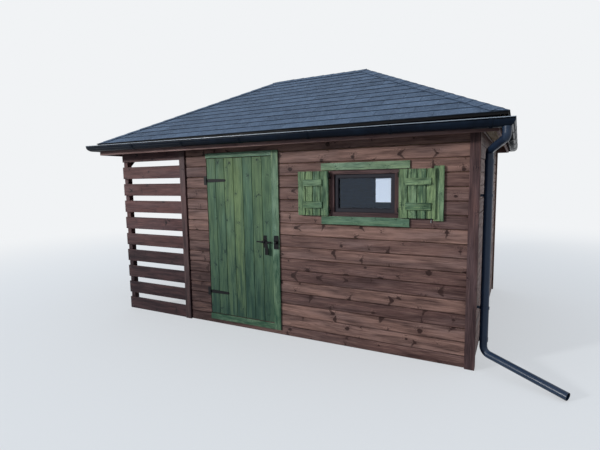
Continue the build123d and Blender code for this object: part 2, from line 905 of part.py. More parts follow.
def window_glass():
    """One sealed pane."""
    return block(sash_x0 + sash_width, sash_x1 - sash_width, glass_y0, glass_y0 + glass_thickness,
                 sash_z0 + sash_width, sash_z1 - sash_width)


def window_trim():
    """Green boards over and under the window."""
    x0 = window_x0 - trim_overlap_left
    x1 = window_x1 + trim_overlap_right
    y0 = front - trim_thickness
    top = block(x0, x1, y0, front, window_top, window_top + trim_top_height)
    bottom = block(x0, x1, y0, front, window_bottom - trim_bottom_height, window_bottom)
    return group([top, bottom])


# Shutters stand open against the wall, each on its own upright pivot beside the opening
left_pivot = (window_x0 + pivot_inset, front - left_pivot_out)
right_pivot = (window_x1 - pivot_inset, front - right_pivot_out)
closed_span = right_pivot[0] - left_pivot[0] - 2 * shutter_edge_gap
right_shutter_width = closed_span - shutter_meeting_gap - left_shutter_width
shutter_z0 = window_bottom + shutter_clearance
shutter_z1 = window_top - shutter_clearance
knuckle_heights = (window_bottom + shutter_knuckle_inset, window_top - shutter_knuckle_inset)


def shutter_boards(pivot, side, width, end_inset):
    """Grooved planks and two battens. Side is -1 for the left shutter and 1 for the right."""
    pivot_x, pivot_y = pivot
    half = shutter_plank_thickness / 2
    near = pivot_x + side * shutter_edge_gap
    pitch = width / shutter_planks
    groove = shutter_groove / 2
    outline = [(near, pivot_y - half)]
    for index in range(1, shutter_planks):
        x = near + side * index * pitch
        outline += [
            (x - side * groove, pivot_y - half),
            (x, pivot_y - half + groove),
            (x + side * groove, pivot_y - half),
        ]
    far = near + side * width
    outline += [(far, pivot_y - half), (far, pivot_y + half), (near, pivot_y + half)]
    leaf = prism_z(outline, shutter_z0, shutter_z1)
    a, b = sorted((near + side * shutter_batten_inset, far - side * end_inset))
    for height in shutter_batten_heights:
        middle = window_bottom + height
        leaf += block(a, b, pivot_y - half - shutter_batten_thickness, pivot_y - half,
                      middle - shutter_batten_height / 2, middle + shutter_batten_height / 2)
    return leaf


def left_shutter():
    """Left leaf."""
    return shutter_boards(left_pivot, -1, left_shutter_width, shutter_batten_inset)


def right_shutter():
    """Right leaf, with the strip that covers the meeting edges once shut."""
    leaf = shutter_boards(right_pivot, 1, right_shutter_width, right_batten_end_inset)
    free_edge = right_pivot[0] + shutter_edge_gap + right_shutter_width
    back_face = right_pivot[1] + shutter_plank_thickness / 2
    x1 = free_edge + strip_reach
    strip = block(x1 - strip_width, x1, back_face, back_face + strip_thickness,
                  shutter_z0 - strip_overhang, shutter_z1 + strip_overhang)
    return leaf + strip


def shutter_straps(pivot, side):
    """Knuckles and short straps screwed on the face that is outside once the shutter is shut."""
    pivot_x, pivot_y = pivot
    face = pivot_y + shutter_plank_thickness / 2
    pieces = []
    for height in knuckle_heights:
        z0 = height
        z1 = height + shutter_knuckle_height
        knuckle = upright_cylinder(pivot_x, pivot_y, z0, z1, shutter_knuckle_radius)
        a, b = sorted((pivot_x, pivot_x + side * (shutter_edge_gap + shutter_strap_length)))
        middle = (z0 + z1) / 2
        half = shutter_strap_height / 2
        strap = block(a, b, face, face + shutter_strap_thickness, middle - half, middle + half)
        arm = block(*sorted((pivot_x, pivot_x + side * shutter_strap_thickness)), pivot_y, face,
                    middle - half, middle + half)
        knuckle += strap + arm
        bore = shutter_pin_radius + running_clearance
        knuckle -= upright_cylinder(pivot_x, pivot_y, z0 - cut_margin, z1 + cut_margin, bore)
        pieces.append(knuckle)
    return group(pieces)


def shutter_pintles():
    """Four pins on lugs that stand out from the wall beside the opening."""
    pieces = []
    for pivot_x, pivot_y in (left_pivot, right_pivot):
        side = -1 if pivot_x < (window_x0 + window_x1) / 2 else 1
        for height in knuckle_heights:
            top = height - running_clearance
            low = top - pintle_lug_height
            reach = shutter_knuckle_radius
            edge = window_x0 if side < 0 else window_x1
            a, b = sorted((pivot_x - side * reach, edge + side * 2 * reach))
            lug = block(a, b, front - pintle_plate_thickness, front, low - pintle_lug_height, top)
            lug += block(pivot_x - reach, pivot_x + reach, pivot_y, front, low, top)
            lug += upright_cylinder(pivot_x, pivot_y, low, top, reach)
            lug += upright_cylinder(pivot_x, pivot_y, low, height + shutter_knuckle_height, shutter_pin_radius)
            pieces.append(lug)
    return group(pieces)


os.makedirs("parts", exist_ok=True)

write("floor_deck", block(room_inner_left, room_inner_right, inner_front, inner_back, 0, floor_thickness))
write("front_wall_left", block(room_left, door_x0, front, inner_front, 0, wall_height))
write("front_wall_over_door", block(door_x0, door_x1, front, inner_front, doorway_top, wall_height))
write("front_wall_right", front_wall_right())
write("door_sill", block(door_x0, door_x1, front, inner_front, 0, doorway_bottom))
write("back_wall", block(room_left, room_right, inner_back, back, 0, wall_height))
write("right_wall", block(room_inner_right, room_right, inner_front, inner_back, 0, wall_height))
write("partition_wall", block(room_left, room_inner_left, inner_front, inner_back, 0, wall_height))

write("front_slats", group(slat_screen()))
write("back_slats", group([mirrored_back(slat) for slat in slat_screen()]))
write("bay_posts", bay_posts())
write("bay_beams", bay_beams())
write("knee_braces", knee_braces())
write("corner_boards", corner_boards())

write("fascia", fascia())
write("soffit", soffit())
write("drip_edges", drip_edges())
write("rafters", rafters())
write("roof_deck", roof_deck())
write("shingles_front", front_shingles())
write("shingles_back", mirrored_back(front_shingles()))
write("shingles_right", right_shingles())
write("shingles_left", mirrored_left(right_shingles()))
write("ridge_cap", ridge_cap())
right_hips = [hip_cap(), mirrored_back(hip_cap())]
write("hip_caps", group(right_hips + [mirrored_left(hip) for hip in right_hips]))

outlet_hole = upright_cylinder(
    outlet_x, gutter_mid_y, gutter_floor - cut_margin, gutter_top, outlet_radius - pipe_wall
)
write("gutter_front", front_gutter() - outlet_hole)
write("gutter_back", mirrored_back(front_gutter()))
write("gutter_right", Pos(right_shift, 0, 0) * side_gutter() - outlet_hole)
write("gutter_left", mirrored_left(side_gutter()))
write("gutter_brackets", gutter_brackets())
write("downpipe_offset", downpipe_offset())
write("downpipe", downpipe())
write("downpipe_foot", downpipe_foot())
write("pipe_clips", pipe_clips())

write("door_casing", door_casing())
write("door_stops", door_stops())
write("hinge_plates", hinge_plates())
write("bolt_keeper", bolt_keeper())
write("door_leaf", door_leaf())
write("door_straps", door_straps())
write("bolt_guides", bolt_guides())
write("door_bolt", door_bolt())

write("window_lining", window_lining())
write("window_frame", window_frame())
write("window_glass", window_glass())
write("window_trim", window_trim())
write("shutter_pintles", shutter_pintles())
write("left_shutter", left_shutter())
write("right_shutter", right_shutter())
write("left_shutter_hinges", shutter_straps(left_pivot, -1))
write("right_shutter_hinges", shutter_straps(right_pivot, 1))
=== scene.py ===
"""Looks of the garden log store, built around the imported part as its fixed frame.

Everything is in metres and in the part's frame: +X along the front to the right, +Y to the back, +Z up.
"""

import logging
import math
import random
from dataclasses import dataclass
from enum import Enum
from functools import partial
from typing import Callable, Iterator, Sequence

import bmesh
import bpy
import numpy as np
from mathutils import Matrix, Vector

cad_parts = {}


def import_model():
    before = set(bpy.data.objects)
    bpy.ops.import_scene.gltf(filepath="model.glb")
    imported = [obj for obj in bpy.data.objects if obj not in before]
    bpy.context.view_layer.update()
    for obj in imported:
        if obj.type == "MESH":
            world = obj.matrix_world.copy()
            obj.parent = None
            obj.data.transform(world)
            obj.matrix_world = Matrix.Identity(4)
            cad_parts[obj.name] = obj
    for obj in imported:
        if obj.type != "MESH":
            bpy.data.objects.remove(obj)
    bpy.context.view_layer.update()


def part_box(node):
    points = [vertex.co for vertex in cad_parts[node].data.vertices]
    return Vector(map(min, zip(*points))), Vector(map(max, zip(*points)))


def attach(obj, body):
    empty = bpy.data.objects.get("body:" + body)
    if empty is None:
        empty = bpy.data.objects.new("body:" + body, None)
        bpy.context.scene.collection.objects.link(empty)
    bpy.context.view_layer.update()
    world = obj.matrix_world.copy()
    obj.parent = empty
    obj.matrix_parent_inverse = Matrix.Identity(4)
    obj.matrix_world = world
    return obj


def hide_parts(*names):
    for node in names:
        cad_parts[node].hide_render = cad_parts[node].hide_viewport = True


LOG = logging.getLogger("log_store")
MM = 0.001
SEED = 4
GRAIN = "grain"
TONE = "tone"
CUT_EDGE_AND_BUTT_SHADE = "cut_edge"
MERGE = 0.00001
LEVEL = 0.000001
BEVEL_ANGLE = math.radians(40)
ROUND_DEGREES = 50.0
FLAT_ANGLE = math.radians(0.5)

Piece = bpy.types.Object
Node = bpy.types.Node
Hole = tuple[float, float, float, float]
CornerTest = Callable[[Sequence[Vector]], bool]


class Lay(Enum):
    """How a board lies: which way its length runs and which way its face looks."""

    FRONT = "length along X, face to the front"
    BACK = "length along X, face to the back"
    RIGHT = "length along Y, face to the right"
    LEFT = "length along Y, face to the left"
    UPRIGHT = "length along Z, face to the front"
    FLOOR = "length along X, face up"
    UNDER = "length along X, face down"
    UNDER_SIDE = "length along Y, face down"

    @property
    def axes(self) -> tuple[int, int]:
        """For a wall: the axis that its boards run along, and the axis that its face looks along."""
        return (0, 1) if self in (Lay.FRONT, Lay.BACK) else (1, 0)

    @property
    def looks_low(self) -> bool:
        """Whether a wall's face looks to the low end of its axis."""
        return self in (Lay.FRONT, Lay.LEFT)

    @property
    def turn(self) -> Matrix:
        """Rotation from the board's own axes (length X, face -Y, width Z) to this lay."""
        quarter = math.pi / 2
        return {
            Lay.FRONT: Matrix.Identity(3),
            Lay.BACK: Matrix.Rotation(math.pi, 3, "Z"),
            Lay.RIGHT: Matrix.Rotation(quarter, 3, "Z"),
            Lay.LEFT: Matrix.Rotation(-quarter, 3, "Z"),
            Lay.UPRIGHT: Matrix.Rotation(-quarter, 3, "Y"),
            Lay.FLOOR: Matrix.Rotation(-quarter, 3, "X"),
            Lay.UNDER: Matrix.Rotation(quarter, 3, "X"),
            Lay.UNDER_SIDE: Matrix.Rotation(quarter, 3, "Z") @ Matrix.Rotation(quarter, 3, "X"),
        }[self]


@dataclass(frozen=True)
class Extent:
    """A box between two corners."""

    low: tuple[float, float, float]
    high: tuple[float, float, float]

    @property
    def size(self) -> Vector:
        """Edge lengths."""
        return Vector(self.high) - Vector(self.low)

    @property
    def centre(self) -> Vector:
        """Middle point."""
        return (Vector(self.high) + Vector(self.low)) / 2

    def along(self) -> Lay:
        """The lay of a timber whose length is the box's longest edge."""
        size = self.size
        longest = max(range(3), key=lambda axis: size[axis])
        return (Lay.FRONT, Lay.RIGHT, Lay.UPRIGHT)[longest]

    def span(self, axis: int, start: float, end: float) -> "Extent":
        """The same box with another start and end along one axis."""
        low, high = list(self.low), list(self.high)
        low[axis], high[axis] = start, end
        return Extent(tuple(low), tuple(high))


def node_extent(node: str) -> Extent:
    """Box of one CAD node."""
    low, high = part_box(node)
    return Extent(tuple(low), tuple(high))


def solid_extents(node: str) -> list[Extent]:
    """Boxes of the separate closed solids in a CAD node, whose mesh is loose triangles.

    Args:
        node: Name of the node.

    Returns:
        One box per solid, in the mesh's order.
    """
    mesh = bpy.data.objects[node].data
    points = mesh_points(mesh)
    _, same = np.unique(np.round(points, 5), axis=0, return_inverse=True)
    same = same.ravel()
    parent = list(range(int(same.max()) + 1))

    def root(index: int) -> int:
        """Representative of a group of joined points."""
        while parent[index] != index:
            parent[index] = parent[parent[index]]
            index = parent[index]
        return index

    for polygon in mesh.polygons:
        first = root(same[polygon.vertices[0]])
        for vertex in polygon.vertices[1:]:
            parent[root(same[vertex])] = first
    groups: dict[int, list[int]] = {}
    for index, key in enumerate(same):
        groups.setdefault(root(int(key)), []).append(index)
    corners = [points[members] for members in groups.values()]
    return [Extent(tuple(corner.min(0).tolist()), tuple(corner.max(0).tolist())) for corner in corners]


def deselect_all() -> None:
    """Leaves nothing selected in object mode."""
    if bpy.context.mode != "OBJECT":
        bpy.ops.object.mode_set(mode="OBJECT")
    bpy.ops.object.select_all(action="DESELECT")


def activate(piece: Piece) -> None:
    """Makes one piece the only selected and the active one."""
    deselect_all()
    piece.select_set(True)
    bpy.context.view_layer.objects.active = piece


def open_whole(piece: Piece) -> None:
    """Opens a piece in edit mode with everything selected."""
    activate(piece)
    bpy.ops.object.mode_set(mode="EDIT")
    bpy.ops.mesh.select_all(action="SELECT")


def close_edit() -> None:
    """Goes back to object mode."""
    bpy.ops.object.mode_set(mode="OBJECT")


def start_box(name: str, extent: Extent) -> Piece:
    """Adds a box primitive that fills an extent, its place in its mesh.

    Args:
        name: Name of the new piece.
        extent: Where it goes.

    Returns:
        The new piece, active.
    """
    deselect_all()
    bpy.ops.mesh.primitive_cube_add(size=1, location=extent.centre)
    piece = bpy.context.object
    piece.name = name
    piece.scale = extent.size
    bpy.ops.object.transform_apply(location=True, rotation=True, scale=True)
    return piece


def pick(piece: Piece, kind: str, test: CornerTest) -> int:
    """Opens a piece in edit mode and selects its edges or faces by their corners.

    Args:
        piece: The piece to edit.
        kind: "EDGE" or "FACE".
        test: Says from the corner points whether the edge or face is wanted.

    Returns:
        How many were selected.
    """
    activate(piece)
    bpy.ops.object.mode_set(mode="EDIT")
    bpy.ops.mesh.select_mode(type=kind)
    bpy.ops.mesh.select_all(action="DESELECT")
    mesh = bmesh.from_edit_mesh(piece.data)
    parts = mesh.edges if kind == "EDGE" else mesh.faces
    wanted = [part for part in parts if test([vertex.co for vertex in part.verts])]
    for part in wanted:
        part.select_set(True)
    bmesh.update_edit_mesh(piece.data)
    return len(wanted)


def bevel_edges(piece: Piece, width: float, segments: int, test: CornerTest) -> None:
    """Bevels the edges that pass a test, and goes back to object mode."""
    if pick(piece, "EDGE", test):
        bpy.ops.mesh.bevel(offset=width, segments=segments, profile=0.5, affect="EDGES")
    close_edit()


def apply_modifier(piece: Piece, kind: str, **settings: object) -> None:
    """Adds a modifier with its settings and applies it."""
    activate(piece)
    modifier = piece.modifiers.new(kind.title(), kind)
    for key, value in settings.items():
        setattr(modifier, key, value)
    bpy.ops.object.modifier_apply(modifier=modifier.name)


def ease(piece: Piece, width: float, segments: int = 2) -> None:
    """Rounds every edge that is sharper than the bevel angle."""
    apply_modifier(
        piece, "BEVEL", width=width, segments=segments, limit_method="ANGLE", angle_limit=BEVEL_ANGLE
    )


def open_frame(name: str, extent: Extent, axis: int, width: float) -> Piece:
    """A box opened right through along one axis, so that a frame of even width is left.

    Args:
        name: Name of the new piece.
        extent: Outside of the frame.
        axis: Which way the opening goes through.
        width: Width of the frame's sides.

    Returns:
        The new piece.
    """
    piece = start_box(name, extent)
    pick(piece, "FACE", lambda corners: max(c[axis] for c in corners) - min(c[axis] for c in corners) < LEVEL)
    bpy.ops.mesh.inset(thickness=width, use_individual=True)
    bpy.ops.mesh.bridge_edge_loops()
    close_edit()
    return piece


def joined(name: str, parts: Sequence[Piece]) -> Piece:
    """Joins several meshes into one piece with a new name."""
    deselect_all()
    for part in parts:
        part.select_set(True)
    bpy.context.view_layer.objects.active = parts[0]
    bpy.ops.object.join()
    piece = bpy.context.object
    piece.name = name
    piece.data.name = name
    return piece


def placed_copy(master: Piece, place: Matrix) -> Piece:
    """Copy with its own mesh, the place baked into its points."""
    copy = master.copy()
    copy.data = master.data.copy()
    copy.data.transform(place)
    bpy.context.scene.collection.objects.link(copy)
    return copy


def discard(piece: Piece) -> None:
    """Removes a master that was only copied."""
    bpy.data.objects.remove(piece)


def merged_copy(node: str, name: str) -> Piece:
    """A CAD node's shape as a piece whose triangles share their points."""
    piece = bpy.data.objects.new(name, bpy.data.objects[node].data.copy())
    bpy.context.scene.collection.objects.link(piece)
    open_whole(piece)
    bpy.ops.mesh.remove_doubles(threshold=MERGE)
    close_edit()
    return piece


def smooth(piece: Piece, degrees: float = 35.0) -> None:
    """Smooth shading up to an angle."""
    activate(piece)
    bpy.ops.object.shade_smooth_by_angle(angle=math.radians(degrees))


def set_attribute(mesh: bpy.types.Mesh, name: str, values: np.ndarray) -> None:
    """Stores one number or one vector per point."""
    vector = values.ndim == 2
    attribute = mesh.attributes.new(name, "FLOAT_VECTOR" if vector else "FLOAT", "POINT")
    attribute.data.foreach_set("vector" if vector else "value", values.astype(np.float32).ravel())


def set_tone(mesh: bpy.types.Mesh, tone: float) -> None:
    """Gives a whole piece one tone, from 0 to 1."""
    set_attribute(mesh, TONE, np.full(len(mesh.vertices), tone))


def mark_grain(mesh: bpy.types.Mesh, local: np.ndarray, dice: random.Random) -> None:
    """Gives a timber its own stretch of wood and its own tone.

    Args:
        mesh: The timber's mesh.
        local: Its points as (along, out of the face, across).
        dice: Source of the offsets.
    """
    moved = local + np.array([dice.uniform(0, 40), dice.uniform(0, 9), dice.uniform(0, 40)])
    set_attribute(mesh, GRAIN, moved[:, (0, 2, 1)])
    set_tone(mesh, dice.random())


def mesh_points(mesh: bpy.types.Mesh) -> np.ndarray:
    """All points of a mesh as rows."""
    points = np.empty(len(mesh.vertices) * 3, np.float32)
    mesh.vertices.foreach_get("co", points)
    return points.reshape(-1, 3).astype(float)


@dataclass
class BoardStack:
    """Boards stretched from one unit board with its edges kept true, and joined into a piece."""

    name: str
    dice: random.Random
    edge: float
    joint_edge: float = 0.0

    def __post_init__(self) -> None:
        """Models the unit board: eased edges all round, or V edges along the face alone."""
        self.boards: list[Piece] = []
        self.master = start_box(self.name, Extent((-0.5, -0.5, -0.5), (0.5, 0.5, 0.5)))
        if self.joint_edge:
            bevel_edges(
                self.master, self.joint_edge, 1,
                lambda ends: all(end.y < 0 for end in ends) and ends[0].z * ends[1].z > 0
                and ends[0].x * ends[1].x < 0,
            )
        else:
            bevel_edges(self.master, self.edge, 2, lambda ends: True)

    def add(self, extent: Extent, lay: Lay) -> None:
        """Lays one board that fills an extent, with its own stretch of wood."""
        board = placed_copy(self.master, Matrix.Identity(4))
        turn = lay.turn
        size = np.abs(np.array(turn.transposed() @ extent.size))
        local = mesh_points(board.data)
        local += np.sign(local) * (size / 2 - 0.5)
        mark_grain(board.data, local, self.dice)
        world = np.round(local @ np.rint(np.array(turn)).T + np.array(extent.centre), 6)
        board.data.vertices.foreach_set("co", world.astype(np.float32).ravel())
        board.data.update()
        self.boards.append(board)

    def add_planks(self, box: Extent, count: int, joint: float, tongue: tuple[float, float]) -> None:
        """Fills a box with upright planks, and closes each joint with a tongue from behind.

        Args:
            box: Box of all the planks.
            count: How many planks.
            joint: Width of a joint.
            tongue: Front and back of the tongue, measured from the planks' face.
        """
        left = box.low[0]
        step = (box.high[0] - left) / count
        near, far = (box.low[1] + depth for depth in tongue)
        closer = box.span(1, near, far).span(2, box.low[2] + 2 * joint, box.high[2] - 2 * joint)
        for index in range(count):
            seam = left + index * step
            start = seam + (joint / 2 if index else 0.0)
            end = left + (index + 1) * step - (joint / 2 if index < count - 1 else 0.0)
            self.add(box.span(0, start, end), Lay.UPRIGHT)
            if index:
                self.add(closer.span(0, seam - joint, seam + joint), Lay.UPRIGHT)

    def piece(self, name: str) -> Piece:
        """Joins the boards laid so far."""
        made = joined(name, self.boards)
        discard(self.master)
        return made


def linear(colour: str) -> tuple[float, float, float, float]:
    """Linear colour of an sRGB hex value."""
    parts = [int(colour[index:index + 2], 16) / 255 for index in (1, 3, 5)]
    straight = [part / 12.92 if part <= 0.04045 else ((part + 0.055) / 1.055) ** 2.4 for part in parts]
    return (*straight, 1.0)


Feed = Node | bpy.types.NodeSocket | str | float | Sequence[float]
Adder = Callable[..., Node]


def add_node(
    tree: bpy.types.NodeTree, kind: str, feeds: Sequence[Feed] | dict[str, Feed] = (), **settings: object
) -> Node:
    """Adds one node, sets it up and links it.

    Args:
        tree: The material's node tree.
        kind: Blender's name of the node type, without its prefix.
        feeds: What the usable inputs get, in their order or by name: a socket, a node for its first
            usable output, a hex colour or a plain value.
        settings: The node's own settings.

    Returns:
        The new node.
    """
    node = tree.nodes.new("ShaderNode" + kind)
    for key, value in settings.items():
        setattr(node, key, value)
    if isinstance(feeds, dict):
        pairs = [(node.inputs[name], feed) for name, feed in feeds.items()]
    else:
        pairs = list(zip((socket for socket in node.inputs if socket.enabled), feeds))
    for socket, feed in pairs:
        if isinstance(feed, Node):
            feed = next(output for output in feed.outputs if output.enabled)
        if isinstance(feed, bpy.types.NodeSocket):
            tree.links.new(feed, socket)
        else:
            socket.default_value = linear(feed) if isinstance(feed, str) else feed
    return node


def empty_material(name: str) -> tuple[bpy.types.Material, Adder]:
    """A material with no nodes yet, and the function that adds nodes to it."""
    material = bpy.data.materials.new(name)
    material.use_nodes = True
    material.node_tree.nodes.clear()
    return material, partial(add_node, material.node_tree)


class WoodSource(Enum):
    """Where a pine finish reads its place on the wood from."""

    BOARD = "the board's own grain attribute"
    SHED = "the part's axes, for timbers left as CAD made them"


@dataclass(frozen=True)
class StainedPine:
    """Planed spruce or pine boards under a thin translucent stain.

    The stain soaks deepest into end grain and soft wood, so the eye sees streaks along the board, dark
    knots with two slanted wings where branch wood was cut lengthwise, darker clouds, and a soft sheen.
    """

    name: str
    shade: str
    light: str
    dark: str
    streak: str
    knot: str
    weathered_and_sheen: str
    source: WoodSource = WoodSource.BOARD
    roughness: float = 0.58
    ring_mm: float = 9.0
    fibre_mm: float = 5.0
    knot_spacing_mm: tuple[float, float] = (400.0, 105.0)
    knot_mm: tuple[float, float] = (5.0, 19.0)
    knot_rim_mm: tuple[float, float] = (-2.0, 6.0)
    knot_squeeze: float = 0.8
    fray_mm: float = 22.0
    halo_mm: float = 40.0
    winged: float = 0.85
    wing_reach: float = 4.0
    wing_breadth: float = 0.85
    wing_lean: tuple[float, float] = (-0.55, -2.5)
    wing_start_mm: float = 4.0
    line_drift: float = 9.0
    line_bend: float = 3.2
    cloud_mm: tuple[float, float] = (420.0, 45.0)
    cloudiness: float = 0.75
    weathered_and_sheen_share: float = 0.5
    streakiness: float = 0.8
    relief_mm: float = 0.5
    # Waves per metre along the grain and on both ways across it
    fray_waves: tuple[float, float, float] = (28.0, 60.0, 60.0)
    drift_waves: tuple[float, float, float] = (1.6, 13.0, 13.0)
    patch_waves: tuple[float, float, float] = (1.9, 9.0, 9.0)
    bundle_waves: float = 5.0
    # Darkening towards the bottom is full up to the bottom level and gone at the top level; along X it fades
    # to the rest share over the side range, so it stays strongest by the bay, where it is partly painted
    # shade and partly splash
    low_dark_bottom: float = 0.0
    low_dark_top: float = 0.0
    low_dark: float = 0.0
    bay_shade_side: tuple[float, float] = (0.0, 0.0)
    bay_shade_rest: float = 1.0

    def drawn_out(
        self, add: Adder, place: Feed, waves: Sequence[float], detail: float, roughness: float = 0.5
    ) -> Node:
        """Noise drawn out along the grain, with so many waves per metre along and across."""
        stretched = add("Mapping", {"Vector": place, "Scale": waves})
        return add("TexNoise", {"Vector": stretched, "Scale": 1.0, "Detail": detail, "Roughness": roughness})

    def knots(self, add: Adder, place: Feed) -> tuple[Node, Node]:
        """Draws one knot in each cell of a grid on the board's face, some with wings.

        Args:
            add: Adds a node to the material.
            place: Place on the wood.

        Returns:
            How much of a knot or wing a point shows, and the halo where lines bend round a knot.
        """
        along, across = (size * MM for size in self.knot_spacing_mm)
        cells = add("Mapping", {"Vector": place, "Scale": (1 / along, 1 / across, 0)})
        grid = add("TexVoronoi", {"Vector": cells, "Scale": 1.0}, voronoi_dimensions="2D")
        gap = add("VectorMath", (cells, grid.outputs["Position"]), operation="SUBTRACT")
        size_luck, wing_luck, lean_luck = add("SeparateColor", (grid.outputs["Color"],)).outputs
        radius = add("MapRange", (size_luck, 0.0, 1.0, *(size * MM for size in self.knot_mm)))
        offset = add("VectorMath", (gap, (along * self.knot_squeeze, across, 0)), operation="MULTIPLY")
        ragged = self.drawn_out(add, place, self.fray_waves, 3.0).outputs["Color"]
        fray = self.fray_mm * MM
        frayed = add("VectorMath", (ragged, (fray, fray, 0), offset), operation="MULTIPLY_ADD")
        away = add("VectorMath", (frayed,), operation="LENGTH")
        inside = add("Math", (radius, away), operation="SUBTRACT")
        rim = [size * MM for size in self.knot_rim_mm]
        knot = add("MapRange", (inside, *rim, 0.0, 0.95), interpolation_type="SMOOTHSTEP")
        halo = add("MapRange", (inside, -self.halo_mm * MM, 0.0, 0.0, 1.0), interpolation_type="SMOOTHSTEP")

        # Wings: two tapered strokes from a knot, mirrored over the grain, at a lean of their own
        ahead, aside, _ = add("SeparateXYZ", (frayed,)).outputs
        folded = add("CombineXYZ", (ahead, add("Math", (aside,), operation="ABSOLUTE")))
        lean = add("MapRange", (lean_luck, 0.0, 1.0, *self.wing_lean))
        turned = add("VectorRotate", {"Vector": folded, "Angle": lean}, rotation_type="Z_AXIS")
        run, off, _ = add("SeparateXYZ", (turned,)).outputs
        reach = add("Math", (radius, self.wing_reach), operation="MULTIPLY")
        broad = add("Math", (radius, self.wing_breadth), operation="MULTIPLY")
        taper = add("MapRange", (run, 0.0, reach, broad, 0.0))
        within = add("Math", (taper, add("Math", (off,), operation="ABSOLUTE")), operation="SUBTRACT")
        covered = add("MapRange", (within, *rim, 0.0, 1.0), interpolation_type="SMOOTHSTEP")
        begun = add("MapRange", (run, -self.wing_start_mm * MM, self.wing_start_mm * MM, 0.0, 1.0))
        chance = add("MapRange", (wing_luck, 0.3, 0.5, 0.0, self.winged))
        drawn = add("Math", (covered, begun), operation="MULTIPLY")
        wings = add("Math", (drawn, chance), operation="MULTIPLY")
        return add("Math", (wings, knot), operation="MAXIMUM"), halo

    def lines(self, add: Adder, place: Feed, halo: Node) -> Node:
        """Late-wood lines: a wave across the board, pushed aside by slow noise and by the knots."""
        drift = self.drawn_out(add, place, self.drift_waves, 2.5)
        across = add("SeparateXYZ", (place,)).outputs["Y"]
        turns = add("Math", (across, 1 / (self.ring_mm * MM)), operation="MULTIPLY")
        pushed = add("Math", (drift, self.line_drift, turns), operation="MULTIPLY_ADD")
        bent = add("Math", (halo, self.line_bend, pushed), operation="MULTIPLY_ADD")
        wave = add("Math", (add("Math", (bent, math.tau), operation="MULTIPLY"),), operation="SINE")
        return add("MapRange", (wave, 0.1, 1.0, 0.0, 1.0), interpolation_type="SMOOTHSTEP")

    def darker(self, add: Adder, spot: Node, cloud: Node, fibre: Node) -> Node:
        """How much darker the stain looks: cloudy, darker towards the bottom and by the bay (partly painted
        shade), and soaked along the fibres.

        Args:
            add: Adds a node to the material.
            spot: Place on the part, split into X, Y and Z.
            cloud: The stain's clouds.
            fibre: The bundles of fibres.

        Returns:
            The share of the dark colour.
        """
        cloudy = add("MapRange", (cloud, 0.4, 0.72, 0.0, self.cloudiness))
        top = max(self.low_dark_top, MM)
        low_down = add("MapRange", (spot.outputs["Z"], self.low_dark_bottom, top, self.low_dark, 0.0))
        # Along X the bottom darkening fades away from the bay: near the bay it is partly painted shade,
        # partly splash.
        start, end = self.bay_shade_side
        beside = add("MapRange", (spot.outputs["X"], start, end + MM, 1.0, self.bay_shade_rest))
        low_and_bay_dark = add("Math", (low_down, beside), operation="MULTIPLY")
        soaked = add("MapRange", (fibre, 0.47, 0.32, 0.0, self.streakiness * 0.6))
        both = add("Math", (cloudy, low_and_bay_dark), operation="ADD")
        return add("Math", (both, soaked), operation="ADD", use_clamp=True)

    def material(self) -> bpy.types.Material:
        """Builds the node tree.

        Returns:
            The finished material.
        """
        material, add = empty_material(self.name)
        shed_place = add("TexCoord").outputs["Object"]
        if self.source is WoodSource.BOARD:
            place = add("Attribute", attribute_name=GRAIN).outputs["Vector"]
            tone = add("Attribute", attribute_name=TONE).outputs["Fac"]
        else:
            place = shed_place
            tone = add("TexNoise", {"Vector": place, "Scale": 1.7, "Detail": 0.0})
        long_way, cross_way = (1 / (size * MM) for size in self.cloud_mm)
        cloud = self.drawn_out(add, place, (long_way, cross_way, cross_way), 5.0, 0.62)
        # Fibres: real ones are finer than a millimetre, drawn as bundles so that they show
        fine = 1 / (self.fibre_mm * MM)
        fibre = self.drawn_out(add, place, (self.bundle_waves, fine, fine), 3.0, 0.6)
        marked, halo = self.knots(add, place)
        line = self.lines(add, place, halo)

        # Colour, from the board's tone through cloudy stain to lines, smears and knots
        colour = add("Mix", (tone, self.shade, self.light), data_type="RGBA")
        streaky = add("MapRange", (fibre, 0.49, 0.66, 0.0, self.streakiness))
        # Grey patches: partly weathered stain, partly a painted bluish sheen.
        patchy = self.drawn_out(add, place, self.patch_waves, 4.0)
        weathered_and_sheen_share = add("MapRange", (patchy, 0.45, 0.7, 0.0, self.weathered_and_sheen_share))
        darker = self.darker(add, add("SeparateXYZ", (shed_place,)), cloud, fibre)
        depth = add("MapRange", (halo, 0.0, 1.0, 0.35, 0.8))
        lined = add("Math", (line, depth), operation="MULTIPLY")
        for share, over in (
            (streaky, self.streak), (weathered_and_sheen_share, self.weathered_and_sheen), (darker, self.dark), (lined, self.dark),
            (marked, self.knot),
        ):
            colour = add("Mix", (share, colour, over), data_type="RGBA")
        sheen = add("MapRange", (cloud, 0.3, 0.7, self.roughness - 0.07, self.roughness + 0.1))
        height = add("Math", (line, 0.6, fibre), operation="MULTIPLY_ADD")
        bump = add("Bump", {"Strength": 0.55, "Distance": self.relief_mm * MM, "Height": height})
        wood = {"Base Color": colour, "Roughness": sheen, "Normal": bump, "IOR": 1.5}
        add("OutputMaterial", (add("BsdfPrincipled", {**wood, "Specular IOR Level": 0.2}),))
        return material


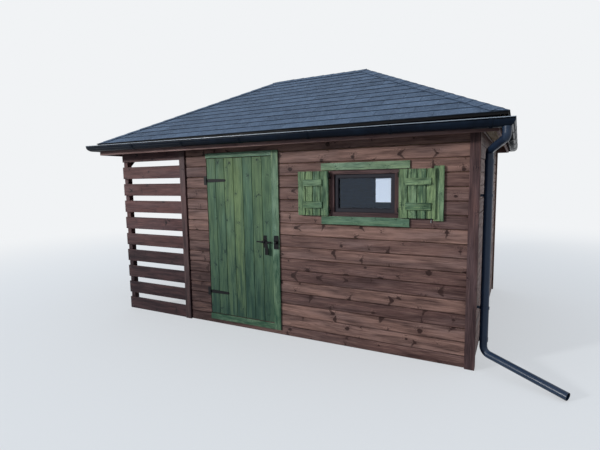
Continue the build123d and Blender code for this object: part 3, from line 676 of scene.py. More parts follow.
@dataclass(frozen=True)
class MineralShingle:
    """Bitumen shingles coated with slate granules.

    The granules give a matt, speckled dark blue-grey, with a few pale grains, and each tab is a touch
    lighter or darker than its neighbours. Cut edges show the black bitumen inside, and the butts are drawn
    black as well as painted shade under each course.
    """

    name: str = "mineral_shingle"
    cut_edge: str = "#06080d"
    dark: str = "#2c3a4c"
    light: str = "#53657c"
    pale_grain: str = "#8d9db1"
    grit_mm: float = 4.0
    relief_mm: float = 0.8
    roughness: float = 0.82

    def material(self) -> bpy.types.Material:
        """Builds the node tree."""
        material, add = empty_material(self.name)
        place = add("TexCoord").outputs["Object"]
        tone = add("Attribute", attribute_name=TONE).outputs["Fac"]
        cut = add("Attribute", attribute_name=CUT_EDGE_AND_BUTT_SHADE).outputs["Fac"]
        # Grit of about a millimetre is drawn coarser, so that it shows
        grit = add("TexVoronoi", {"Vector": place, "Scale": 1 / (self.grit_mm * MM)})
        luck = add("SeparateColor", (grit.outputs["Color"],))
        cloud = add("TexNoise", {"Vector": place, "Scale": 9.0, "Detail": 5.0, "Roughness": 0.65})
        shade = add("Math", (tone, 0.28, cloud), operation="MULTIPLY_ADD")
        spread = add("MapRange", (shade, 0.25, 1.0, 0.0, 1.0))
        speck = add("MapRange", (luck, 0.955, 0.975, 0.0, 0.8))
        bare = add("MapRange", (tone, 0.0, 1.0, 0.7, 1.0))
        # Black on butts, slots and cut ends: bitumen, partly painted shade under each course.
        bitumen = add("Math", (cut, bare), operation="MULTIPLY")
        colour = add("Mix", (spread, self.dark, self.light), data_type="RGBA")
        for share, over in ((speck, self.pale_grain), (bitumen, self.cut_edge)):
            colour = add("Mix", (share, colour, over), data_type="RGBA")
        bump = add("Bump", {"Strength": 0.6, "Distance": self.relief_mm * MM, "Height": grit})
        stone = {"Base Color": colour, "Roughness": self.roughness, "Normal": bump, "Specular IOR Level": 0.2}
        add("OutputMaterial", (add("BsdfPrincipled", stone),))
        return material


@dataclass(frozen=True)
class CoatedSurface:
    """Moulded plastic or powder-coated steel: one colour, a fine texture and a soft gloss."""

    name: str
    colour: str
    dust_and_sheen: str
    roughness: float
    grain_mm: float
    relief_mm: float
    dust: float = 0.25
    shine: float = 0.3

    def material(self) -> bpy.types.Material:
        """Builds the node tree."""
        material, add = empty_material(self.name)
        place = add("TexCoord").outputs["Object"]
        cloud = add("TexNoise", {"Vector": place, "Scale": 6.0, "Detail": 5.0, "Roughness": 0.6})
        grain = add("TexNoise", {"Vector": place, "Scale": 1 / (self.grain_mm * MM), "Detail": 2.0})
        # Lighter patches: dust, and on the blue plastics painted sheen as well.
        dust_and_sheen = add("MapRange", (cloud, 0.45, 0.75, 0.0, self.dust))
        colour = add("Mix", (dust_and_sheen, self.colour, self.dust_and_sheen), data_type="RGBA")
        gloss = add("MapRange", (cloud, 0.3, 0.7, self.roughness - 0.05, self.roughness + 0.12))
        bump = add("Bump", {"Strength": 0.4, "Distance": self.relief_mm * MM, "Height": grain})
        coat = {"Base Color": colour, "Roughness": gloss, "Normal": bump, "IOR": 1.5}
        add("OutputMaterial", (add("BsdfPrincipled", {**coat, "Specular IOR Level": self.shine}),))
        return material


@dataclass(frozen=True)
class WindowPane:
    """Coated float glass: dark against the room, its body and reflection tinted blue as a painted sky
    reflection, with a film of dust that dulls it in patches.
    """

    name: str = "window_pane"
    # Blue body and reflection tints: a painted sky reflection.
    colour: str = "#6c829f"
    reflection: str = "#c2cfdf"

    def material(self) -> bpy.types.Material:
        """Builds the node tree."""
        material, add = empty_material(self.name)
        place = add("TexCoord").outputs["Object"]
        film = add("TexNoise", {"Vector": place, "Scale": 7.0, "Detail": 4.0})
        dulled = add("MapRange", (film, 0.4, 0.75, 0.02, 0.09))
        glass = {"Base Color": self.colour, "Roughness": dulled, "IOR": 1.66, "Transmission Weight": 1.0}
        add("OutputMaterial", (add("BsdfPrincipled", {**glass, "Specular Tint": self.reflection}),))
        return material


@dataclass(frozen=True)
class PlainPaper:
    """A blank sheet of office paper: matt, bluish white, with faint fibres."""

    name: str = "plain_paper"
    colour: str = "#e4effc"
    shade: str = "#d3e0f4"

    def material(self) -> bpy.types.Material:
        """Builds the node tree."""
        material, add = empty_material(self.name)
        place = add("TexCoord").outputs["Object"]
        fibre = add("TexNoise", {"Vector": place, "Scale": 180.0, "Detail": 3.0})
        colour = add("Mix", (fibre, self.colour, self.shade), data_type="RGBA")
        add("OutputMaterial", (add("BsdfPrincipled", {"Base Color": colour, "Roughness": 0.9}),))
        return material


@dataclass(frozen=True)
class Finish:
    """A material, with the record's slot that it belongs to."""

    material: bpy.types.Material
    slot: str


@dataclass(frozen=True)
class Finishes:
    """Every finish on the part, each made once."""

    wall: Finish
    fascia: Finish
    slats: Finish
    covers: Finish
    door: Finish
    casing: Finish
    shutters: Finish
    bare: Finish
    bare_fixed: Finish
    shingle: Finish
    felt: Finish
    plastic: Finish
    lip: Finish
    pipe: Finish
    sheet_metal: Finish
    iron: Finish
    zinc: Finish
    frame: Finish
    paper: Finish
    pane: Finish


def make_finishes() -> Finishes:
    """Makes the materials.

    Returns:
        All finishes by name.
    """
    bare = ("#a98c68", "#bda27c", "#8b6d4b", "#c7ad87", "#5e4330", "#a59a86")
    looks = {
        "stained_pine": {
            # Wall and cover boards darken towards the bottom, most by the bay, partly as painted shade.
            "wall": StainedPine(
                "brown_stained_pine", "#5a403d", "#9b786c", "#2e1c1b", "#a9887b", "#281512", "#7e6b6a",
                knot_spacing_mm=(360.0, 110.0), knot_mm=(6.0, 24.0), cloudiness=0.8, streakiness=0.5,
                weathered_and_sheen_share=0.4, low_dark_bottom=0.5, low_dark_top=0.98, low_dark=0.62, bay_shade_side=(-0.6, 0.1), bay_shade_rest=0.25,
            ),
            # Fascia: a lighter copy of the wall stain, painted light on the strip seen below the gutter.
            "fascia": StainedPine(
                "brown_stained_fascia_painted_light", "#8b6a65", "#a08079", "#5b403d", "#b19189", "#331f20", "#96807e",
                knot_mm=(2.0, 8.0), streakiness=0.4,
            ),
            "slats": StainedPine(
                "brown_stained_slats", "#4e3333", "#684643", "#1c0910", "#825752", "#16080c", "#5d4a4e",
                knot_spacing_mm=(300.0, 100.0), knot_mm=(4.0, 17.0), cloudiness=0.55,
                low_dark_bottom=0.68, low_dark_top=1.0, low_dark=0.66,
            ),
            "covers": StainedPine(
                "brown_stained_cover_boards",
                "#4a3536", "#634947", "#24171a", "#75564f", "#1b1015", "#5f5052",
                knot_spacing_mm=(420.0, 110.0), knot_mm=(2.0, 9.0), low_dark_top=1.4, low_dark=0.7,
                bay_shade_side=(-0.6, 0.1), bay_shade_rest=0.5,
            ),
        },
        "green_pine": {
            "door": StainedPine(
                "green_stained_boards", "#365d4d", "#7d925f", "#203a30", "#8ba270", "#182c27", "#587b6a",
                knot_spacing_mm=(310.0, 95.0), knot_mm=(3.0, 13.0), cloud_mm=(330.0, 40.0), cloudiness=0.6,
                streakiness=0.5, low_dark_top=1.6, low_dark=0.75,
            ),
            "casing": StainedPine(
                "green_stained_trim", "#5e8069", "#95a982", "#2b4937", "#a9ba88", "#1c3029", "#83a392",
                knot_spacing_mm=(190.0, 75.0), knot_mm=(1.5, 7.0), cloud_mm=(160.0, 38.0), cloudiness=0.7,
                streakiness=0.5, low_dark_top=1.62, low_dark=0.7,
            ),
            "shutters": StainedPine(
                "green_stained_shutters", "#587859", "#869e6e", "#1a3324", "#a4b684", "#1c3029", "#7b9b86",
                knot_spacing_mm=(190.0, 75.0), knot_mm=(1.5, 7.0), cloud_mm=(150.0, 30.0), cloudiness=1.0,
            ),
        },
        "bare_pine": {
            "bare": StainedPine("bare_pine_boards", *bare),
            "bare_fixed": StainedPine("bare_pine_timbers", *bare, source=WoodSource.SHED),
        },
        "shingle": {
            "shingle": MineralShingle(),
            # Black felt strip at the eaves: painted shade under the roof edge.
            "felt": CoatedSurface("black_painted_eaves_shadow", "#07080a", "#101216", 0.85, 1.5, 0.1, shine=0.05),
        },
        "black_plastic": {
            # Gutter and downpipe plastics: black tinted blue as a painted sky reflection; their lighter blue
            # patches are dust and painted sheen.
            "plastic": CoatedSurface(
                "black_gutter_plastic_painted_sky_tint", "#0a131f", "#26374b", 0.32, 1.6, 0.04, shine=0.07
            ),
            # Pale grey rim bead: a painted highlight along the gutters' rim.
            "lip": CoatedSurface("gutter_rim_painted_highlight", "#86919c", "#aeb8c1", 0.3, 1.6, 0.02, shine=0.5),
            "pipe": CoatedSurface("black_downpipe_plastic_painted_sky_tint", "#1b2b40", "#33465d", 0.3, 1.6, 0.04),
        },
        "black_metal": {
            # Drip edges near-black: black metal, partly painted shade under the roof edge.
            "sheet_metal": CoatedSurface(
                "black_sheet_metal_and_painted_shade", "#08090c", "#14171b", 0.5, 1.2, 0.04, shine=0.1
            ),
        },
        "black_iron": {
            "iron": CoatedSurface("black_coated_iron", "#090a0d", "#17181c", 0.42, 1.0, 0.12, shine=0.15),
            "zinc": CoatedSurface("zinc_plated_screws", "#9a9da0", "#6f7376", 0.35, 0.8, 0.05),
        },
        "dark_frame": {
            "frame": CoatedSurface(
                "dark_window_frame", "#232229", "#33333b", 0.5, 1.4, 0.08, dust=0.15, shine=0.2
            ),
            "paper": PlainPaper(),
        },
        "glass": {"pane": WindowPane()},
    }
    return Finishes(
        **{key: Finish(look.material(), slot) for slot, group in looks.items() for key, look in group.items()}
    )


def refinish(piece: Piece, finish: Finish) -> None:
    """Gives a piece one finish in place of all others."""
    piece.data.materials.clear()
    piece.data.materials.append(finish.material)


def dress(piece: Piece, finish: Finish, *nodes: str, body: str = "building") -> None:
    """Gives a new piece its finish, its body and the CAD nodes that it stands for.

    Args:
        piece: The finished piece.
        finish: Its material and slot.
        nodes: CAD nodes that it replaces.
        body: CAD body that carries it.
    """
    refinish(piece, finish)
    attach(piece, body)
    if nodes:
        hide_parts(*nodes)
    LOG.info("%s: %d faces on %s", piece.name, len(piece.data.polygons), body)


@dataclass
class SubAssembly:
    """What the building's parts share: their finishes and one source of chance values."""

    finishes: Finishes
    dice: random.Random

    def stack(self, name: str, edge: float, joint_edge: float = 0.0) -> BoardStack:
        """An empty stack of boards with eased edges, or with V edges along the face."""
        return BoardStack(name, self.dice, edge, joint_edge)


@dataclass
class WallBoards(SubAssembly):
    """Horizontal V-jointed boards outside, studs' thickness between, and lining boards inside."""

    pitch: float = 0.1155
    first_seam: float = 0.099
    joint: float = 0.0045
    joint_edge: float = 0.006
    board: float = 0.020
    lining: float = 0.012
    core_edge: float = 0.001

    def rows(self, low: float, high: float) -> Iterator[tuple[float, float]]:
        """Heights of the boards between two levels."""
        seams = [low]
        level = self.first_seam
        while level < high - self.joint:
            if level > low + self.joint:
                seams.append(level)
            level += self.pitch
        seams.append(high)
        for bottom, top in zip(seams, seams[1:]):
            yield bottom + self.joint / 2, top - self.joint / 2

    def spans(
        self, low: float, high: float, bottom: float, top: float, holes: Sequence[Hole]
    ) -> Iterator[Hole]:
        """Pieces of one row of boards round the openings.

        Args:
            low: Start of the wall.
            high: End of the wall.
            bottom: Lower edge of the row.
            top: Upper edge of the row.
            holes: Openings as (start, end, bottom, top), from left to right.

        Yields:
            Start, end, bottom and top of each board.
        """
        start = low
        for left, right, sill, head in holes:
            if bottom >= head or top <= sill:
                continue
            if left > start:
                yield start, left, bottom, top
            if bottom < sill:
                yield left, right, bottom, sill
            if top > head:
                yield left, right, head, top
            start = right
        if high > start:
            yield start, high, bottom, top

    def face(
        self, name: str, wall: Extent, lay: Lay, thickness: float, holes: Sequence[Hole] = ()
    ) -> Piece:
        """Boards over one face of a wall.

        Args:
            name: Name of the piece.
            wall: The wall's box.
            lay: Which way the boards lie; their face is flush with that side of the wall.
            thickness: Thickness of the boards.
            holes: Openings in the wall.

        Returns:
            The boards as one piece.
        """
        run, out = lay.axes
        if lay.looks_low:
            skin = wall.span(out, wall.low[out], wall.low[out] + thickness)
        else:
            skin = wall.span(out, wall.high[out] - thickness, wall.high[out])
        stack = self.stack("wall_board", 0.0, self.joint_edge)
        for bottom, top in self.rows(wall.low[2], wall.high[2]):
            for start, end, sill, head in self.spans(wall.low[run], wall.high[run], bottom, top, holes):
                stack.add(skin.span(run, start, end).span(2, sill, head), lay)
        return stack.piece(name)

    def core(
        self, name: str, wall: Extent, lay: Lay, inside: Lay, holes: Sequence[Hole] = ()
    ) -> Piece:
        """Studs' layer and lining boards behind the outer boards, as one piece."""
        run, out = lay.axes
        near, far = (self.board, self.lining) if lay.looks_low else (self.lining, self.board)
        middle = wall.span(out, wall.low[out] + near, wall.high[out] - far)
        stack = self.stack("wall_core", self.core_edge)
        cuts = sorted({wall.low[2], wall.high[2], *(level for hole in holes for level in hole[2:])})
        for bottom, top in zip(cuts, cuts[1:]):
            for start, end, sill, head in self.spans(wall.low[run], wall.high[run], bottom, top, holes):
                stack.add(middle.span(run, start, end).span(2, sill, head), Lay.UPRIGHT)
        core = stack.piece(name + "_studs")
        return joined(name, [core, self.face(name + "_lining", wall, inside, self.lining, holes)])

    def build(self) -> None:
        """Boards the four walls of the room."""
        left = node_extent("front_wall_left")
        right = node_extent("front_wall_right")
        over = node_extent("front_wall_over_door")
        window = node_extent("window_lining")
        door = (left.high[0], right.low[0], node_extent("door_sill").high[2], over.low[2])
        pane = (window.low[0], window.high[0], window.low[2], window.high[2])
        front = Extent(left.low, right.high)
        front_nodes = ("front_wall_left", "front_wall_right", "front_wall_over_door", "door_sill")
        back = node_extent("back_wall")
        side = node_extent("right_wall")
        inner = node_extent("partition_wall")
        walls = (
            ("front_wall", front, Lay.FRONT, Lay.BACK, (door, pane), front_nodes),
            ("back_wall", back, Lay.BACK, Lay.FRONT, (), ("back_wall",)),
            ("right_wall", side, Lay.RIGHT, Lay.LEFT, (), ("right_wall",)),
            ("bay_wall", inner, Lay.LEFT, Lay.RIGHT, (), ("partition_wall",)),
        )
        for name, wall, lay, inside, holes, nodes in walls:
            boards = self.face(name + "_boards", wall, lay, self.board, holes)
            dress(boards, self.finishes.wall, *nodes)
            core = self.core(name + "_inside", wall, lay, inside, holes)
            dress(core, self.finishes.bare)


@dataclass
class Timbers(SubAssembly):
    """Sawn and planed timbers that follow the boxes of CAD nodes."""

    edge: float = 0.0018
    joint: float = 0.001
    corner_width: float = 0.03
    soffit_edge: float = 0.003
    floor_edge: float = 0.0015
    floor_width: float = 0.12
    floor_thickness: float = 0.02
    trim_tones: tuple[float, float] = (0.75, 0.1)

    def from_boxes(self, name: str, boxes: Sequence[Extent]) -> Piece:
        """One eased timber in each box."""
        stack = self.stack("timber", self.edge)
        for box in boxes:
            stack.add(box, box.along())
        return stack.piece(name)

    def from_nodes(self, name: str, finish: Finish, *nodes: str) -> Piece:
        """Timbers in place of the box-shaped solids of some nodes."""
        piece = self.from_boxes(name, [box for node in nodes for box in solid_extents(node)])
        dress(piece, finish, *nodes)
        return piece

    def corner_boards(self) -> None:
        """Cover boards beside the slats, and two boards at right angles on each right corner."""
        boxes, sides = [], []
        wall = node_extent("right_wall").high[0]
        for box in solid_extents("corner_boards"):
            if min(box.size.x, box.size.y) < self.corner_width:
                boxes.append(box)
                continue
            thickness = box.high[0] - wall
            start, end = box.low[1], box.high[1]
            if box.centre.y < 0:
                face, rest = (start, start + thickness), (start + thickness, end)
            else:
                face, rest = (end - thickness, end), (start, end - thickness)
            boxes.append(box.span(1, *face))
            sides.append(box.span(0, box.high[0] - thickness, box.high[0]).span(1, *rest))
        piece = self.from_boxes("corner_cover_boards", boxes)
        dress(piece, self.finishes.covers, "corner_boards")
        dress(self.from_boxes("corner_side_boards", sides), self.finishes.wall)

    def soffit(self) -> None:
        """Two V-jointed boards under each eave."""
        stack = self.stack("soffit_board", 0.0, self.soffit_edge)
        for box in solid_extents("soffit"):
            across, lay = (1, Lay.UNDER) if box.size.x > box.size.y else (0, Lay.UNDER_SIDE)
            middle = (box.low[across] + box.high[across]) / 2
            for start, end in ((box.low[across], middle), (middle, box.high[across])):
                stack.add(box.span(across, start + self.joint / 2, end - self.joint / 2), lay)
        dress(stack.piece("soffit_boards"), self.finishes.bare, "soffit")

    def floor(self) -> None:
        """Floor boards on their bearers."""
        deck = node_extent("floor_deck")
        top = deck.high[2]
        under = top - self.floor_thickness
        stack = self.stack("floor_board", self.floor_edge)
        count = round(deck.size.y / self.floor_width)
        step = deck.size.y / count
        for index in range(count):
            start = deck.low[1] + index * step
            board = deck.span(1, start + self.joint / 2, start + step - self.joint / 2)
            stack.add(board.span(2, under, top), Lay.FLOOR)
        stack.add(deck.span(2, deck.low[2], under), Lay.FLOOR)
        dress(stack.piece("floor_boards"), self.finishes.bare, "floor_deck")

    def braces(self) -> None:
        """Slanted knee braces, their wood running up the slant."""
        piece = merged_copy("knee_braces", "slanted_braces")
        open_whole(piece)
        bpy.ops.mesh.dissolve_limited(angle_limit=FLAT_ANGLE)
        close_edit()
        ease(piece, self.edge)
        run = Vector((0, 1, 1)).normalized()
        side = run.orthogonal().normalized()
        axes = np.array([run, side, run.cross(side)])
        mark_grain(piece.data, mesh_points(piece.data) @ axes.T, self.dice)
        dress(piece, self.finishes.slats, "knee_braces")

    def build(self) -> None:
        """Makes every timber outside the walls, the door and the window."""
        brown = self.finishes.slats
        self.from_nodes("front_slat_screen", brown, "front_slats")
        self.from_nodes("back_slat_screen", brown, "back_slats")
        self.from_nodes("bay_frame", brown, "bay_posts", "bay_beams")
        # The fascia's lighter stain is painted light.
        self.from_nodes("fascia_boards", self.finishes.fascia, "fascia")
        self.from_nodes("door_stop_battens", self.finishes.bare, "door_stops")
        trim = self.from_nodes("window_trim_boards", self.finishes.casing, "window_trim")
        high_up = mesh_points(trim.data)[:, 2] > node_extent("window_trim").centre.z
        tones = np.where(high_up, *self.trim_tones).astype(np.float32)
        trim.data.attributes[TONE].data.foreach_set("value", tones)
        self.braces()
        self.corner_boards()
        self.soffit()
        self.floor()
        for node in ("rafters", "roof_deck"):
            refinish(bpy.data.objects[node], self.finishes.bare_fixed)


@dataclass
class ShingleRoof(SubAssembly):
    """Courses of three-tab shingles on four slopes, with folded caps on hips and ridge."""

    pitch: float = math.radians(27.75)
    exposure: float = 0.131
    tab: float = 0.333
    slot: float = 0.003
    butt: float = 0.007
    worn_edge: float = 0.0012
    tab_lift: float = 0.0005
    tab_slide: float = 0.0012
    head: float = 0.002
    felt: float = 0.0012
    joint: float = 0.001
    cap_length: float = 0.25
    cap_exposure: float = 0.15
    cap_thickness: float = 0.0035
    cap_fold: float = 0.012
    cap_settling: float = 0.04
    ridge_overlap: float = 0.015
    level_face: float = 0.7
    cap_bareness: float = 0.45
    cap_tones: tuple[float, float] = (0.2, 0.9)
    hip_wing: float = 0.085
    ridge_wing: float = 0.105
    shadow_felt_reach: tuple[float, float] = (0.001, 0.027)
    cap_lip: float = 0.002
    cap_start: float = 0.07

    def __post_init__(self) -> None:
        """Reads the roof's outline from the frame."""
        front = node_extent("shingles_front")
        side = node_extent("shingles_right")
        self.edge_level = front.low[2]
        self.eave_run = -front.low[1] - self.butt * math.sin(self.pitch)
        self.side_run = side.high[0] - self.butt * math.sin(self.pitch)
        self.ridge_half = self.side_run - self.eave_run
        self.slope_length = self.eave_run / math.cos(self.pitch)

    def tab_master(self) -> Piece:
        """One tab: a thin wedge with a worn butt edge."""
        size = Extent((0, 0, 0), (self.tab - self.slot, self.exposure, self.butt))
        piece = start_box("shingle_tab", size)
        top = self.butt / 2
        pick(piece, "EDGE", lambda ends: all(end.z > top and end.y > self.exposure / 2 for end in ends))
        bpy.ops.transform.translate(value=(0, 0, self.head - self.butt))
        close_edit()
        bevel_edges(piece, self.worn_edge, 1, lambda ends: all(end.z > top and end.y < MM for end in ends))
        return piece

    def slope_place(self) -> Matrix:
        """Place of a slope's own axes (along the eave, up the slope, out of it) on the front."""
        rotation = Matrix.Rotation(self.pitch, 4, "X")
        return Matrix.Translation((0, -self.eave_run, self.edge_level)) @ rotation

    def laid_slope(self, name: str, half_width: float, top_half: float) -> Piece:
        """Tabs and felt of one slope, in the front slope's place.

        Args:
            name: Name of the piece.
            half_width: Half of the eave's length.
            top_half: Half of the upper edge's length.

        Returns:
            The slope, cut along its hips.
        """
        master = self.tab_master()
        tabs = []
        for course in range(math.ceil(self.slope_length / self.exposure)):
            start = course * self.exposure
            reach = half_width - (half_width - top_half) * start / self.slope_length
            shift = 0.5 * (course % 2) * self.tab
            first = math.floor((-reach - shift) / self.tab)
            last = math.ceil((reach - shift) / self.tab)
            for index in range(first, last):
                left = index * self.tab + shift + self.slot / 2
                lift = self.dice.uniform(0, self.tab_lift)
                slide = self.dice.uniform(-self.tab_slide, self.tab_slide) if course else 0.0
                copy = placed_copy(master, Matrix.Translation((left, start + slide, lift)))
                set_tone(copy.data, self.dice.random())
                tabs.append(copy)
        discard(master)
        under = Extent((-half_width, 0, 0), (half_width, self.slope_length, self.felt))
        felt = start_box("shingle_felt", under)
        set_tone(felt.data, 0.0)
        piece = joined(name, [felt, *tabs])
        piece.data.transform(self.slope_place())
        self.cut(piece, (top_half - self.joint, 0, 0), (1, 1, 0))
        self.cut(piece, (self.joint - top_half, 0, 0), (-1, 1, 0))
        self.cut(piece, (0, -self.joint, 0), (0, 1, 0))
        return piece

    def mark_cut_edges_and_butt_shade(self, piece: Piece, share: float = 1.0) -> None:
        """Marks the faces that show few granules: butts, slots and cut ends, whose black is partly painted
        shade under each course.

        Args:
            piece: The courses or caps.
            share: How bare these faces are, 1 for no granules at all.
        """
        normals = np.empty(3 * len(piece.data.polygons))
        piece.data.polygons.foreach_get("normal", normals)
        marks = piece.data.attributes.new(CUT_EDGE_AND_BUTT_SHADE, "FLOAT", "FACE")
        bare = np.where(normals[2::3] < self.level_face, share, 0.0)
        marks.data.foreach_set("value", bare.astype(np.float32))

    def eaves_shadow_felt(self) -> None:
        """Black felt that laps down over the fascia, seen between the drip edge and the gutter; its black is
        painted shade for the shadow under the roof edge.
        """
        fascia = node_extent("fascia")
        gutter_top = node_extent("gutter_front").high[2]
        thickness, height = self.shadow_felt_reach
        low = (fascia.low[0] - thickness, fascia.low[1] - thickness, gutter_top + thickness)
        high = (fascia.high[0] + thickness, fascia.high[1] + thickness, gutter_top + height)
        piece = open_frame("eaves_felt_strip", Extent(low, high), 2, thickness)
        dress(piece, self.finishes.felt)

    def cut(self, piece: Piece, point: Sequence[float], normal: Sequence[float]) -> None:
        """Cuts off what lies beyond an upright plane, and closes the cut."""
        open_whole(piece)
        bpy.ops.mesh.bisect(plane_co=point, plane_no=normal, use_fill=True, clear_outer=True)
        close_edit()

    def cap_master(self, wing: float, drop: float) -> Piece:
        """One folded cap: its fold along X, two wings that fall to the sides.

        Args:
            wing: Width of one wing, measured level.
            drop: Fall of the wing per metre across.

        Returns:
            The cap, its lower end at X = 0.
        """
        deselect_all()
        bpy.ops.mesh.primitive_plane_add(size=1, location=(0, 0, 0))
        piece = bpy.context.object
        piece.scale = (self.cap_length, 2 * wing, 1)
        bpy.ops.object.transform_apply(location=True, rotation=True, scale=True)
        pick(piece, "EDGE", lambda ends: abs(ends[0].y - ends[1].y) > wing)
        bpy.ops.mesh.subdivide(number_cuts=1)
        close_edit()
        pick(piece, "EDGE", lambda ends: all(abs(end.y) < wing / 4 for end in ends))
        bpy.ops.transform.translate(value=(0, 0, wing * drop))
        bpy.ops.mesh.bevel(offset=self.cap_fold, segments=3, affect="EDGES")
        close_edit()
        apply_modifier(piece, "SOLIDIFY", thickness=self.cap_thickness, offset=1.0)
        piece.data.transform(Matrix.Translation((self.cap_length / 2, 0, -wing * drop)))
        return piece

    def laid_caps(self, wing: float, drop: float, start: Vector, end: Vector) -> list[Piece]:
        """Overlapping caps from a low end to a high end.

        Args:
            wing: Width of one wing.
            drop: Fall of the wings per metre.
            start: Low end of the fold.
            end: High end of the fold.

        Returns:
            The caps.
        """
        master = self.cap_master(wing, drop)
        run = (end - start).normalized()
        side = Vector((0, 0, 1)).cross(run).normalized()
        turn = Matrix((run, side, run.cross(side))).transposed().to_4x4()
        length = (end - start).length
        count = math.ceil((length - self.cap_length) / self.cap_exposure) + 1
        step = (length - self.cap_length) / (count - 1)
        tilt = Matrix.Rotation(self.cap_thickness / step, 4, "Y")
        seat = Matrix.Translation((0, 0, self.cap_thickness)) @ tilt
        caps = []
        for index in range(count):
            place = Matrix.Translation(start + run * (index * step)) @ turn
            caps.append(placed_copy(master, place @ seat))
            set_tone(caps[-1].data, self.dice.uniform(*self.cap_tones))
        discard(master)
        return caps

    def caps(self) -> None:
        """Folded caps on the four hips and on the ridge."""
        slope = math.tan(self.pitch)
        rise = self.butt / 2
        top = self.edge_level + self.eave_run * slope + rise
        hip_drop = math.sin(math.atan(slope / math.sqrt(2))) - self.cap_settling
        hips = []
        for right in (1, -1):
            for back in (1, -1):
                end = Vector((right * self.ridge_half, 0, top))
                corner = Vector((right * self.side_run, back * self.eave_run, self.edge_level + rise))
                start = corner + (corner - end).normalized() * self.cap_start
                hips += self.laid_caps(self.hip_wing, hip_drop, start, end)
        hip_caps = joined("hip_cap_shingles", hips)
        for way in (1, -1):
            self.cut(hip_caps, (way * (self.side_run + self.cap_lip), 0, 0), (way, 0, 0))
        for way in (1, -1):
            self.cut(hip_caps, (0, way * (self.eave_run + self.cap_lip), 0), (0, way, 0))
        start = Vector((self.ridge_half + self.ridge_overlap, 0, top))
        end = Vector((-self.ridge_half - self.ridge_overlap, 0, top))
        ridge = self.laid_caps(self.ridge_wing, slope - self.cap_settling, start, end)
        for piece, node in ((hip_caps, "hip_caps"), (joined("ridge_cap_shingles", ridge), "ridge_cap")):
            self.mark_cut_edges_and_butt_shade(piece, self.cap_bareness)
            dress(piece, self.finishes.shingle, node)

    def build(self) -> None:
        """Shingles all slopes and caps the hips and the ridge."""
        half_turn = Matrix.Rotation(math.pi, 4, "Z")
        front = self.laid_slope("front_shingle_courses", self.side_run, self.ridge_half)
        back = placed_copy(front, half_turn)
        back.name = "back_shingle_courses"
        right = self.laid_slope("right_shingle_courses", self.eave_run, 0.0)
        quarter_turn = Matrix.Rotation(math.pi / 2, 4, "Z")
        right.data.transform(Matrix.Translation((self.ridge_half, 0, 0)) @ quarter_turn)
        left = placed_copy(right, half_turn)
        left.name = "left_shingle_courses"
        for piece, side in ((front, "front"), (back, "back"), (right, "right"), (left, "left")):
            self.mark_cut_edges_and_butt_shade(piece)
            dress(piece, self.finishes.shingle, "shingles_" + side)
        self.caps()
        self.eaves_shadow_felt()


@dataclass
class Door(SubAssembly):
    """Boarded door with its ledges, and its casing."""

    boards: int = 7
    board_thickness: float = 0.020
    ledge_height: float = 0.110
    ledge_end_gap: float = 0.045
    ledge_edge: float = 0.002
    joint_edge: float = 0.0035
    joint: float = 0.002
    tongue: tuple[float, float] = (0.008, 0.013)
    casing_width: float = 0.075
    casing_head: float = 0.050
    casing_sill: float = 0.060
    casing_edge: float = 0.0015

    def leaf(self) -> None:
        """Upright boards with V joints, on three ledges."""
        box = node_extent("door_leaf")
        back = box.low[1] + self.board_thickness
        face = self.stack("leaf_board", 0.0, self.joint_edge)
        face.add_planks(box.span(1, box.low[1], back), self.boards, self.joint, self.tongue)
        boards = face.piece("leaf_boards")
        straps = [strap.centre.z for strap in solid_extents("door_straps")]
        stack = self.stack("ledge", self.ledge_edge)
        for level in (min(straps), box.centre.z, max(straps)):
            low = (box.low[0] + self.ledge_end_gap, back, level - self.ledge_height / 2)
            high = (box.high[0] - self.ledge_end_gap, box.high[1], level + self.ledge_height / 2)
            stack.add(Extent(low, high), Lay.FRONT)
        piece = joined("door_boards", [boards, stack.piece("leaf_ledges")])
        dress(piece, self.finishes.door, "door_leaf", body="door")

    def casing(self) -> None:
        """Right board over the full height; head and foot boards butt against it."""
        box = node_extent("door_casing")
        split = box.high[0] - self.casing_width
        left = box.span(0, box.low[0], split)
        stack = self.stack("casing_board", self.casing_edge)
        stack.add(box.span(0, split, box.high[0]), Lay.UPRIGHT)
        stack.add(left.span(2, box.high[2] - self.casing_head, box.high[2]), Lay.FRONT)
        stack.add(left.span(2, box.low[2], box.low[2] + self.casing_sill), Lay.FRONT)
        dress(stack.piece("door_casing_boards"), self.finishes.casing, "door_casing")

    def build(self) -> None:
        """Makes the leaf and the casing."""
        self.leaf()
        self.casing()


